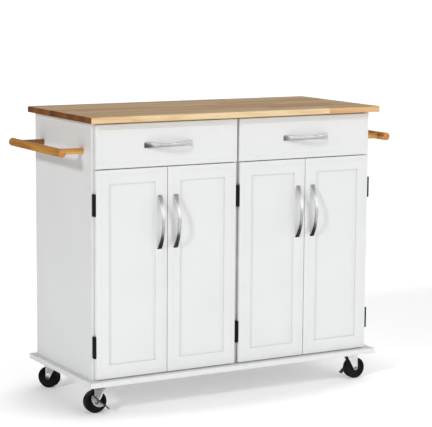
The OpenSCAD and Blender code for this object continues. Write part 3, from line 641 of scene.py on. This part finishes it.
def make_door_frame(number):
    """Rectangular rings that go on over the face, round the inner edge and back behind the panel,
    so that the stiles and rails make a closed frame. The rails are a little taller than the
    stiles are wide, so the rings' insets differ in Z from the inner edge on."""
    node = f"door_{number}_frame"
    low, high = box_of(node)
    face, back = low[1], high[1]
    outer = front_profile(face, back)
    inner = [(-0.9 * MM, face), (-0.25 * MM, face + 0.2 * MM), (0, face + 0.9 * MM),
             (0, face + RECESS + 1.0 * MM), (0, back - EDGE), (-0.3 * EDGE, back - 0.3 * EDGE),
             (-EDGE, back)]
    rings = rectangle_rings(low, high, outer + [(STILE_W + x, y) for x, y in inner])
    taller = np.zeros(len(rings))
    taller[len(outer):] = RAIL_H - STILE_W
    rings[:, :2, 2] += taller[:, None]
    rings[:, 2:, 2] -= taller[:, None]
    new_piece(f"door_{number}_stiles_and_rails", f"door_{number}", WHITE,
              grid(rings, wrap_rows=True, wrap_columns=True), [node])


# ---- Pulls ----

# A pull's length, its width at the feet and at the waist, and its thickness
PULL_L = 163 * MM
PULL_W = 17.5 * MM
PULL_WAIST = 11.5 * MM
PULL_T = 3.4 * MM
# Its screws: the head's radius and height, and how far in from the pull's ends they are
SCREW_HEAD_R = 4 * MM
SCREW_HEAD_H = 2.2 * MM
SCREW_INSET = 4.6 * MM


def pull_shape(reach, screw_end):
    """A bowed strap along X with its feet at y = 0 and its arch towards -Y. Along an arc from foot
    to foot, its width narrows by a cosine to the waist, and its section is a crowned strap: a
    flat back, round edges and a face that bulges by a parabola. What would pass behind the door's
    face is pressed flat on it. Two pan heads hold it from behind."""
    radius = (PULL_L**2 / 4 + reach**2) / (2 * reach)
    half_turn = math.asin(PULL_L / 2 / radius)
    along = np.linspace(-half_turn, half_turn, 65)[:, None]
    width = PULL_WAIST + (PULL_W - PULL_WAIST) * (1 - np.cos(along / half_turn * math.pi / 2))
    across = np.sin(np.linspace(-math.pi / 2, math.pi / 2, 21))
    side = np.concatenate([across, across[-2:0:-2]])
    in_front = np.arange(len(side)) < len(across)
    crown = np.clip(1 - np.abs(side) ** 12, 0, 1) ** 0.5 * (0.85 + 0.15 * (1 - side**2))
    depth = PULL_T * np.where(in_front, crown, 0.0)
    reach_out = radius - PULL_T + depth[None]
    x = reach_out * np.sin(along)
    y = np.minimum(radius - reach - reach_out * np.cos(along), 0)
    strap = grid(np.stack([x, y, side[None] * width / 2], axis=-1), wrap_columns=True, caps=True)
    head = lathe([
        (0.4 * MM, 0), (SCREW_HEAD_R, 0), (SCREW_HEAD_R, 0.9 * MM), (SCREW_HEAD_R * 0.86, 1.6 * MM),
        (SCREW_HEAD_R * 0.5, SCREW_HEAD_H - 0.1 * MM), (SCREW_HEAD_R * 0.12, SCREW_HEAD_H)], 32)
    apart = PULL_L / 2 - SCREW_INSET
    heads = [placed(head, (end * apart, screw_end - SCREW_HEAD_H, 0), (1, 0, 0), (0, 0, 1), (0, 1, 0))
             for end in (-1, 1)]
    return joined(strap, *heads)


def make_pull(node, body, upright):
    """A pull where its CAD node is, with its feet on the front that carries it."""
    low, high = box_of(node)
    front = f"{body}_frame" if upright else f"{body}_front"
    face = box_of(front)[0][1]
    shape = pull_shape(face - low[1], high[1] - face)
    middle = ((low[0] + high[0]) / 2, face, (low[2] + high[2]) / 2)
    if upright:
        shape = placed(shape, middle, (0, 0, 1), (0, 1, 0), (1, 0, 0))
    else:
        shape = placed(shape, middle)
    new_piece(f"{node}_bow", body, PULL, shape, [node], sharp=50, crisp=False)


# ---- Towel bars ----

# How far a bar's ends are eased, and how much thinner a post's shank is than its foot
BAR_EASE = 1.4 * MM
SHANK_IN = 0.5 * MM


def make_towel_bar(side):
    """A round bar turned about Y, with its ends eased. Its fibres run along Y."""
    node = f"towel_bar_{side}"
    low, high = box_of(node)
    radius, length = (high[0] - low[0]) / 2, high[1] - low[1]
    round_in = radius - BAR_EASE
    heights = np.linspace(BAR_EASE, length - BAR_EASE, 11)[1:-1]
    profile = np.vstack([
        [(0.2 * radius, 0)], arc((round_in, BAR_EASE), BAR_EASE, -90, 0),
        np.stack([np.full(len(heights), radius), heights], axis=-1),
        arc((round_in, length - BAR_EASE), BAR_EASE, 0, 90), [(0.2 * radius, length)]])
    middle = (low + high) / 2
    shape = placed(lathe(profile), (middle[0], low[1], middle[2]), (0, 0, 1), (1, 0, 0), (0, 1, 0))
    piece = new_piece(f"{node}_turned", "root", BAR_WOOD, shape, [node])
    at = vertices_of(piece)
    mark(piece, "fibre", "FLOAT_VECTOR", np.stack([at[:, 1], at[:, 0], at[:, 2]], axis=-1))
    ends = (at[:, 1] < low[1] + 0.3 * MM) | (at[:, 1] > high[1] - 0.3 * MM)
    mark(piece, "end grain", "FLOAT", ends)


def make_towel_bar_posts():
    """Four turned posts along X from the side panels into the bars: a plain shank that flares a
    little where it meets the panel. Their fibres run along X, and the rear two are darkened by
    painted shade."""
    low, high = box_of("towel_bar_posts")
    bars = {-1: box_of("towel_bar_left"), 1: box_of("towel_bar_right")}
    panel = {-1: box_of("side_panel_left")[0][0], 1: box_of("side_panel_right")[1][0]}
    radius = (high[2] - low[2]) / 2
    shank = radius - SHANK_IN
    shapes = []
    for side in (-1, 1):
        bar_low, bar_high = bars[side]
        reach = abs((bar_low[0] + bar_high[0]) / 2 - panel[side])
        profile = [(0.1 * MM, 0), (radius, 0), (radius, 1.2 * MM), (radius - 0.3 * MM, 2.0 * MM),
                   (shank, 12 * MM), (shank, reach - 8 * MM), (radius - 1.2 * MM, reach),
                   (0.1 * MM, reach)]
        turned = lathe(profile, 64)
        for y in (low[1] + radius, high[1] - radius):
            shapes.append(placed(turned, (panel[side], y, (low[2] + high[2]) / 2),
                                 (0, 0, 1), (0, 1, 0), (side, 0, 0)))
    # The posts' paler wood holds painted light
    piece = new_piece("towel_bar_posts_turned", "root", LIT_POST_WOOD, joined(*shapes),
                      ["towel_bar_posts"])
    spots = vertices_of(piece)
    mark(piece, "fibre", "FLOAT_VECTOR", spots)
    mark(piece, "end grain", "FLOAT", np.zeros(len(spots)))
    # The rear two posts get painted shade
    mark(piece, "heartwood", "FLOAT", 0.8 * (spots[:, 1] > (low[1] + high[1]) / 2))


# ---- Casters ----


class Swivel:
    """Where one caster stands: the foot of its swivel axis, the way that it trails, the way
    along its axle, and the axle's height and distance behind the swivel axis."""

    def __init__(self, corner):
        pivot = np.array(JOINTS[f"swivel_{corner}"]["pos_m"])
        spin = JOINTS[f"wheel_spin_{corner}"]
        axle = np.array(spin["pos_m"])
        self.corner = corner
        self.foot = np.array([pivot[0], pivot[1], 0.0])
        self.trail = float(np.linalg.norm((axle - pivot)[:2]))
        self.back = np.array([*((axle - pivot)[:2] / self.trail), 0.0])
        self.across = np.array(spin["axis"], float)
        self.axle_z = float(axle[2])
        self.axle = axle

    def lay(self, shape):
        """A shape whose +X trails from the swivel axis and whose +Y runs along the axle."""
        return placed(shape, self.foot, self.back, self.across, (0, 0, 1))

    def turn(self, shape):
        """A shape turned about Z, laid along the axle."""
        return placed(shape, self.axle, self.back, (0, 0, 1), self.across)


# The fork: the thickness of its legs and crown, the radius of a leg's eye, how far the crown
# reaches before and behind the swivel axis, its race's radius, and how far out the legs stand
LEG_T = 2 * MM
CROWN_T = 2.5 * MM
LEG_EYE_R = 7 * MM
CROWN_FRONT = -16 * MM
CROWN_REAR = 24 * MM
CROWN_R = 19 * MM
LEG_OUT = 15 * MM
# How deep a leg's web is sunk, how far from the axle that begins, and the bend under the crown
WEB_SINK = 1.1 * MM
WEB_FROM = 7 * MM
LEG_BEND = 3 * MM
# Half the wheel's width, the radius of its tread's shoulders and of its hub, and the axle bolt
WHEEL_HALF = 12 * MM
SHOULDER = 1.8 * MM
HUB_R = 9.2 * MM
AXLE_R = 3.5 * MM
HEAD_R = 5.8 * MM
HEAD_H = 3 * MM
# The mounting plate, the height of its race, its kingpin's radius and the rivet head's size
PLATE_L = 62 * MM
PLATE_W = 50 * MM
PLATE_T = 2.5 * MM
RACE_H = 6 * MM
PIN_R = 4.4 * MM
RIVET_R = 8 * MM
RIVET_H = 2 * MM
# The foot brake: a half-round plate on the axle, and a pedal along its straight edge
BRAKE_T = 1.5 * MM
BRAKE_GAP = 0.4 * MM
BRAKE_TILT = math.radians(42)
BRAKE_CHORD = 7 * MM
BRAKE_DEPTH = 18 * MM
BRAKE_HALF = 26 * MM
BRAKE_PAST_WHEEL = 6 * MM
BRAKE_FLANGE_W = 16 * MM
BRAKE_FLANGE_T = 3 * MM


def tangent_angle(point, centre, radius, side):
    """The angle about centre where a line from point touches the circle, in radians."""
    gap = np.subtract(point, centre)
    return math.atan2(gap[1], gap[0]) + side * math.acos(radius / np.linalg.norm(gap))


def leg_edges(trail, axle_z, top_z, rows, bend):
    """Front and rear edges of a leg, from the crown down to the bottom of the eye round the axle:
    a straight line from the crown to where it touches the eye, then the eye's own arc."""
    centre = (trail, axle_z)
    edges = []
    for x, side in ((CROWN_FRONT, 1), (CROWN_REAR, -1)):
        start = np.array([x, top_z])
        angle = tangent_angle(start, centre, LEG_EYE_R, side)
        touch = on_circle(centre, LEG_EYE_R, angle)
        line = start + (touch - start) * np.linspace(0, 1, rows)[:, None]
        down = -math.pi / 2 if side < 0 else 1.5 * math.pi
        turn = np.linspace(angle if side < 0 else angle % TURN, down, bend)[1:]
        edges.append(np.vstack([line, on_circle(centre, LEG_EYE_R, turn)]))
    return edges


def leg_shape(swivel, top_z, side):
    """One pressed leg: ruled between its two edges, with a web that is sunk between raised rims,
    less so towards the eye and the crown, and a quarter-round bend under the crown."""
    rows, bend, columns = 15, 10, 25
    front, rear = leg_edges(swivel.trail, swivel.axle_z, top_z, rows, bend)
    share = np.linspace(0, 1, columns)[None]
    flat = front[:, None] * (1 - share[..., None]) + rear[:, None] * share[..., None]
    x, z = flat[..., 0], flat[..., 1]
    rim = np.clip(np.minimum(share, 1 - share) / 0.2, 0, 1)
    rim = rim * rim * (3 - 2 * rim)
    from_axle = np.hypot(x - swivel.trail, z - swivel.axle_z)
    off_eye = np.clip((from_axle - WEB_FROM) / (5 * MM), 0, 1)
    sunk = WEB_SINK * rim * off_eye * np.clip((top_z - z) / (7 * MM), 0, 1)
    corner = np.clip((z - top_z + LEG_BEND) / LEG_BEND, 0, 1)
    drawn_in = LEG_BEND * (1 - np.sqrt(np.clip(1 - corner**2, 0, 1)))
    outer = np.stack([x, side * (LEG_OUT - sunk - drawn_in), z], axis=-1)
    inner = np.stack([x, side * (LEG_OUT - sunk - drawn_in - LEG_T), z - 0.35 * drawn_in], axis=-1)
    return sheet_solid(outer, inner)


def fork_shape(swivel, crown_z):
    """Two pressed legs, the crown between them with a raised race, and an eased outer rim."""
    top_z, dish_z, bore = crown_z + CROWN_T, crown_z - 0.6 * MM, 4.7 * MM
    legs = [leg_shape(swivel, top_z, side) for side in (-1, 1)]
    outline = rounded_rectangle(CROWN_REAR - CROWN_FRONT - 0.6 * MM, 2 * LEG_OUT - 4 * MM, 2 * MM)
    crown = placed(plate(outline, CROWN_T, 0.5 * MM), ((CROWN_REAR + CROWN_FRONT) / 2, 0, crown_z))
    race = lathe(np.vstack([
        [(bore, dish_z), (CROWN_R - 6 * MM, dish_z)],
        [(CROWN_R - 4 * MM, crown_z), (CROWN_R - 0.8 * MM, crown_z)],
        arc((CROWN_R - 1.0 * MM, crown_z + 1.2 * MM), 1.0 * MM, -60, 60),
        [(CROWN_R - 2.5 * MM, top_z), (bore, top_z)]]))
    return joined(*legs, crown, race)


def make_fork(swivel):
    """The swivelling fork, turned to the way that its caster trails."""
    node = f"caster_{swivel.corner}_fork"
    crown_z = box_of(node)[1][2] - CROWN_T
    new_piece(f"{node}_pressed", f"caster_{swivel.corner}", ZINC,
              swivel.lay(fork_shape(swivel, crown_z)), [node], sharp=38)


def make_wheel(swivel):
    """A moulded wheel turned about its axle: a tread that bulges by a parabola, 0.24 mm high, with
    round shoulders, a dished face with a raised rim, and a hub that stands proud of the web."""
    node = f"caster_{swivel.corner}_wheel"
    radius, half = swivel.axle_z, WHEEL_HALF
    side = np.vstack([
        [(AXLE_R + 0.1 * MM, half - 0.4 * MM), (AXLE_R + 0.6 * MM, half), (HUB_R, half)],
        arc((HUB_R, half - 0.8 * MM), 0.8 * MM, 80, 10, 4),
        [(10.6 * MM, half - 3.2 * MM), (11.8 * MM, half - 3.6 * MM)],
        [(radius - 11.5 * MM, half - 3.4 * MM), (radius - 9.4 * MM, half - 2.4 * MM)],
        [(radius - 8.6 * MM, half - 0.7 * MM)],
        arc((radius - 7.6 * MM, half - 0.8 * MM), 0.8 * MM, 150, 90, 4),
        arc((radius - SHOULDER - 0.25 * MM, half - SHOULDER), SHOULDER, 90, 6, 8)])
    bulge = radius - 0.3 * MM * np.linspace(0.9, 0, 5) ** 2
    tread = np.stack([bulge, np.linspace(half - 3 * MM, 0, 5)], axis=-1)
    near_half = np.vstack([side, tread])
    profile = np.vstack([near_half, (near_half * (1, -1))[-2::-1]])
    new_piece(f"{node}_moulded", f"wheel_{swivel.corner}", WHEEL,
              swivel.turn(lathe(profile, 128, closed=True)), [node], sharp=40)


def dome_head(radius, height):
    """A round bolt head with a soft crown and a small centre mark, from z = 0 up."""
    return lathe(np.vstack([
        [(0.2 * MM, 0), (radius - 0.2 * MM, 0), (radius, 0.3 * MM), (radius, 0.45 * height)],
        arc((radius - 0.9 * MM, 0.45 * height), 0.9 * MM, 10, 80),
        [(0.5 * radius, 0.93 * height), (0.34 * radius, height)],
        [(0.22 * radius, 0.8 * height), (0.03 * radius, 0.76 * height)]]), 48)


def hex_nut(radius, height):
    """A nut about Z: for each ring, the smaller of a hexagon and a circle that shrinks towards the
    faces, which rounds off the corners."""
    turn = np.arange(96) * TURN / 96
    hexagon = radius * math.cos(math.pi / 6) / np.cos((turn % (TURN / 6)) - TURN / 12)
    rings = np.array([(0.3, 0), (0.9, 0), (0.94, 0.04), (1.0, 0.2), (1.0, 0.8), (0.94, 0.96),
                      (0.9, 1), (0.5, 1), (0.46, 0.9), (0.1, 0.9)])
    reach = np.minimum(hexagon[None], radius * rings[:, :1])
    level = height * rings[:, 1:] + 0 * turn
    points = np.stack([reach * np.cos(turn), reach * np.sin(turn), level], axis=-1)
    return grid(points, wrap_columns=True, caps=True)


def make_axle(swivel):
    """The bolt through the wheel, its round head on one side and its nut on the other."""
    node = f"caster_{swivel.corner}_axle"
    braked = swivel.corner in BRAKED
    head_at = LEG_OUT + (BRAKE_T + 2 * BRAKE_GAP if braked else 0)
    shank = lathe([(0.2 * MM, -LEG_OUT), (AXLE_R, -LEG_OUT), (AXLE_R, head_at), (0.2 * MM, head_at)], 48)
    head = placed(dome_head(HEAD_R, HEAD_H), (0, 0, head_at))
    nut = placed(hex_nut(HEAD_R, HEAD_H), (0, 0, -LEG_OUT), (1, 0, 0), (0, -1, 0), (0, 0, -1))
    new_piece(f"{node}_bolt", f"caster_{swivel.corner}", BOLT,
              swivel.turn(joined(shank, head, nut)), [node])


def make_caster_plates():
    """Four mounting plates with round corners, each with a swaged race under it and a kingpin
    whose rivet head holds the fork's crown from below."""
    low, high = box_of("caster_plates")
    under, foot_z = high[2] - PLATE_T, low[2]
    race_z, head_z = under - RACE_H, foot_z + RIVET_H
    board = plate(rounded_rectangle(PLATE_L, PLATE_W, 5 * MM), PLATE_T, 0.5 * MM)
    race = lathe(np.vstack([
        [(3 * MM, race_z), (11 * MM, race_z)], arc((15.4 * MM, race_z + 2.4 * MM), 2.4 * MM, -90, 20),
        [(16.4 * MM, under - 1.6 * MM), (18 * MM, under), (3 * MM, under)]]))
    rivet = lathe([
        (0.3 * MM, foot_z), (3 * MM, foot_z), (6.6 * MM, foot_z + 0.5 * MM),
        (RIVET_R, foot_z + 1.4 * MM), (RIVET_R, head_z), (PIN_R, head_z), (PIN_R, under),
        (0.3 * MM, under)], 48)
    shapes = []
    for corner in CASTERS:
        foot = Swivel(corner).foot
        shapes += [placed(board, foot + (0, 0, under)), placed(race, foot), placed(rivet, foot)]
    new_piece("caster_plates_swaged", "root", ZINC, joined(*shapes), ["caster_plates"],
              sharp=38)


def make_brake(swivel):
    """The brake's plate is a segment of a circle, and its pedal is a strip with round corners that
    stands outwards from the segment's straight edge."""
    node = f"caster_{swivel.corner}_brake"
    arm = swivel.axle_z + BRAKE_PAST_WHEEL
    radius = (BRAKE_HALF**2 + BRAKE_DEPTH**2) / (2 * BRAKE_DEPTH)
    middle = (0, BRAKE_CHORD - BRAKE_DEPTH + radius)
    reach = math.degrees(math.asin(BRAKE_HALF / radius))
    outline = np.vstack([arc(middle, radius, -90 - reach, -90 + reach, 40),
                         [(BRAKE_HALF - 1.5 * MM, BRAKE_CHORD), (1.5 * MM - BRAKE_HALF, BRAKE_CHORD)]])
    disc = plate(outline, BRAKE_T, 0.35 * MM)
    outline = rounded_rectangle(BRAKE_HALF + arm, BRAKE_FLANGE_W, 2.4 * MM)
    strip = plate(outline, BRAKE_FLANGE_T, 0.5 * MM)
    seated = ((BRAKE_HALF - arm) / 2, BRAKE_CHORD, BRAKE_FLANGE_W / 2)
    pedal = placed(strip, seated, (1, 0, 0), (0, 0, 1), (0, 1, 0))
    cos, sin = math.cos(BRAKE_TILT), math.sin(BRAKE_TILT)
    along = cos * swivel.back + sin * np.array([0, 0, 1.0])
    upward = -sin * swivel.back + cos * np.array([0, 0, 1.0])
    seat = swivel.axle + (LEG_OUT + BRAKE_GAP) * swivel.across

    def lay(shape):
        return placed(shape, seat, along, upward, swivel.across)

    body = f"brake_{swivel.corner}"
    new_piece(f"{node}_plate", body, ZINC, lay(disc), [node])
    new_piece(f"{node}_pedal", body, PEDAL, lay(pedal))


# ---- Carried-over CAD nodes ----

FINISHES = {
    "white_paint": WHITE, "white_board": BOARD, "runner_steel": RUNNER, "white_plastic": CATCH,
    "hinge_black": HINGE, "bolt_steel": BOLT, "zinc_steel": ZINC, "pull_metal": PULL,
}


def finish_cad_nodes():
    """Gives each CAD node that still shows the finish of its material slot."""
    for part in frame["record"]["subparts"]:
        node = frame["nodes"][part["node"]]
        if not node.hide_render:
            node.data.materials.clear()
            node.data.materials.append(FINISHES[part["material_slot"]])


# ---- Camera, floor and light ----

# The camera's place in metres, its turns in radians, and its sensor and lens in millimetres
CAMERA_AT = (-2.5766, -4.5858, 1.3183)
CAMERA_YAW = 0.51842
CAMERA_PITCH = 0.14530
CAMERA_ROLL = 0.00729
SENSOR_W = 36.0
LENS = 140.2
FAR_CLIP = 200


def make_camera():
    """The camera looks along yaw and pitch, and is rolled a little about its own axis."""
    ahead = Vector((math.sin(CAMERA_YAW) * math.cos(CAMERA_PITCH),
                    math.cos(CAMERA_YAW) * math.cos(CAMERA_PITCH), -math.sin(CAMERA_PITCH)))
    level = Vector((math.cos(CAMERA_YAW), -math.sin(CAMERA_YAW), 0))
    upright = level.cross(ahead)
    right = math.cos(CAMERA_ROLL) * level + math.sin(CAMERA_ROLL) * upright
    up = -math.sin(CAMERA_ROLL) * level + math.cos(CAMERA_ROLL) * upright
    data = bpy.data.cameras.new("camera")
    data.sensor_width, data.lens = SENSOR_W, LENS
    data.clip_end = FAR_CLIP
    camera = bpy.data.objects.new("camera", data)
    bpy.context.scene.collection.objects.link(camera)
    turn = Matrix((right, up, -ahead)).transposed().to_4x4()
    camera.matrix_world = Matrix.Translation(CAMERA_AT) @ turn
    bpy.context.scene.camera = camera


# The floor: half its width, how pale it is, how much it glows under the cart and away from it, and
# how far from the middle the one gives way to the other, with distances along Y counted double
FLOOR_SPAN = 250
FLOOR_PALE = 0.86
NEAR_GLOW = 0.2
FAR_GLOW = 0.41
NEAR_GLOW_ENDS = 0.52
FAR_GLOW_STARTS = 0.82
# The sky's brightness, how much more of it comes from the right than from the left, and the lamps
SKY = 0.6
SKY_LEAN = 1.1
FRONT_SUN = 0.46
FRONT_SUN_FROM = (0.12, -0.97, 0.28)
FRONT_SUN_SPREAD = math.radians(45)
LEFT_SUN = 1.3
LEFT_SUN_FROM = (-0.84, -0.43, 0.46)
LEFT_SUN_SPREAD = math.radians(8)
LEFT_GLOW = 1.3
LEFT_GLOW_AT = (-1.25, -0.2, 0.1)
LEFT_GLOW_TOWARDS = (-0.5, 0, 0.1)
# Polished metal sees a studio with more contrast than paint and wood do: how bright the floor is
# straight below and far across, the wall in front, the wall behind, the ceiling, and how much of
# the light is left in the dark patch behind the viewer and on a narrow stand in front
NEAR_FLOOR_SEEN = 0.03
FAR_FLOOR_SEEN = 0.95
BRIGHT_WALL_SEEN = 1.25
DARK_WALL_SEEN = 0.04
BACK_WALL_SEEN = 0.16
CEILING_SEEN = 0.42
STAND_SEEN = 0.7
DARK_WALL_WAY = (-0.67, -0.74, 0.0)
STAND_WAY = (0.49, -0.86, -0.14)


def dark_patches(tree, way):
    """How much light polished metal sees in a direction: less behind the cart, behind the viewer
    and at the stand."""
    way = vector_maths(tree, "NORMALIZE", way)
    depth = put(tree, "SeparateXYZ", Vector=way).outputs["Y"]
    seen = fade(tree, depth, 0.03, 0.1, 1.0, BACK_WALL_SEEN)
    for centre, edge, core, rest in ((DARK_WALL_WAY, 0.93, 0.985, DARK_WALL_SEEN),
                                     (STAND_WAY, 0.985, 0.998, STAND_SEEN)):
        patch = fade(tree, vector_maths(tree, "DOT_PRODUCT", way, centre), edge, core, 1.0, rest)
        seen = maths(tree, "MULTIPLY", patch, seen)
    return seen


def make_floor():
    """A wide pale floor with a matt surface, which glows a little, and more so away from the cart.
    Polished metal sees it dark where it looks straight down and bright where it looks far
    across."""
    span = FLOOR_SPAN
    corners = [(-span, -span, 0), (span, -span, 0), (span, span, 0), (-span, span, 0)]
    mesh = bpy.data.meshes.new("floor")
    mesh.from_pydata(corners, [], [(0, 1, 2, 3)])
    material, tree, shader, where = new_material("floor", Roughness=0.9, Specular_IOR_Level=0.0,
                                                 Emission_Color=(1, 1, 1, 1))
    skin = grouped(tree, PAINT, Vector=where, Patch_Size=3.0)
    pale = blend_colour(tree, skin["Tone"], grey(FLOOR_PALE), grey(0.98 * FLOOR_PALE))
    slope = put(tree, "LayerWeight", Blend=0.5).outputs["Facing"]
    seen = fade(tree, slope, 0.3, 0.62, NEAR_FLOOR_SEEN, FAR_FLOOR_SEEN)
    seen = maths(tree, "MULTIPLY", seen, dark_patches(tree, where))
    seen = put(tree, "CombineXYZ", X=seen, Y=seen, Z=seen).outputs[0]
    mirrored = put(tree, "LightPath").outputs["Is Glossy Ray"]
    tree.links.new(blend_colour(tree, mirrored, pale, seen), shader.inputs["Base Color"])
    away = vector_maths(tree, "LENGTH", vector_maths(tree, "MULTIPLY", where, (1, 2, 0)))
    glow = fade(tree, away, NEAR_GLOW_ENDS, FAR_GLOW_STARTS, NEAR_GLOW, FAR_GLOW)
    glow = maths(tree, "MULTIPLY", glow, maths(tree, "SUBTRACT", 1.0, mirrored))
    tree.links.new(glow, shader.inputs["Emission Strength"])
    mesh.materials.append(material)
    floor = bpy.data.objects.new("floor", mesh)
    bpy.context.scene.collection.objects.link(floor)


def make_world():
    """White surroundings. What they shed is brighter from the right. Polished metal sees there a
    bright wall, a darker ceiling and the dark patches."""
    world = bpy.data.worlds.new("studio")
    bpy.context.scene.world = world
    world.use_nodes = True
    tree = world.node_tree
    way = tree.nodes.new("ShaderNodeTexCoord").outputs["Generated"]
    axis = put(tree, "SeparateXYZ", Vector=way).outputs
    wall = maths(tree, "MULTIPLY", dark_patches(tree, way), BRIGHT_WALL_SEEN)
    up = fade(tree, axis["Z"], 0.3, 0.7)
    mirrored = blend(tree, up, wall, CEILING_SEEN)
    path = put(tree, "LightPath").outputs
    shed = maths(tree, "MULTIPLY_ADD", axis["X"], SKY_LEAN, SKY, clamp=True)
    strength = blend(tree, path["Is Camera Ray"], shed, 1.0)
    strength = blend(tree, path["Is Glossy Ray"], strength, mirrored)
    back = tree.nodes["Background"]
    tree.links.new(strength, back.inputs["Strength"])
    back.inputs["Color"].default_value = (1, 1, 1, 1)


def light(name, kind, place, target, **settings):
    """A light that faces a target, and that neither the camera nor polished metal sees."""
    data = bpy.data.lights.new(name, kind)
    for key, value in settings.items():
        setattr(data, key, value)
    lamp = bpy.data.objects.new(name, data)
    lamp.visible_camera = lamp.visible_glossy = False
    turn = (Vector(place) - Vector(target)).to_track_quat("Z", "Y").to_matrix().to_4x4()
    lamp.matrix_world = Matrix.Translation(place) @ turn
    bpy.context.scene.collection.objects.link(lamp)


def make_lights():
    """White surroundings, a broad sun from the front, a smaller one from the upper left that
    shades what stands off the end, and a low soft glow on the left."""
    make_world()
    light("front sun", "SUN", FRONT_SUN_FROM, (0, 0, 0), energy=FRONT_SUN, angle=FRONT_SUN_SPREAD)
    light("left sun", "SUN", LEFT_SUN_FROM, (0, 0, 0), energy=LEFT_SUN, angle=LEFT_SUN_SPREAD)
    light("left glow", "AREA", LEFT_GLOW_AT, LEFT_GLOW_TOWARDS, energy=LEFT_GLOW,
          shape="RECTANGLE", size=1.3, size_y=0.3)


# ---- Scene ----

make_camera()
make_worktop()
make_base_board()
for side in DRAWERS:
    make_drawer_front(side)
    make_pull(f"drawer_{side}_pull", f"drawer_{side}", False)
    make_towel_bar(side)
make_towel_bar_posts()
for number in DOORS:
    make_door_frame(number)
    make_pull(f"door_{number}_pull", f"door_{number}", True)
make_caster_plates()
for corner in CASTERS:
    swivel = Swivel(corner)
    make_fork(swivel)
    make_wheel(swivel)
    make_axle(swivel)
    if corner in BRAKED:
        make_brake(swivel)
finish_cad_nodes()
make_floor()
make_lights()
bpy.context.scene.view_settings.view_transform = "Standard"
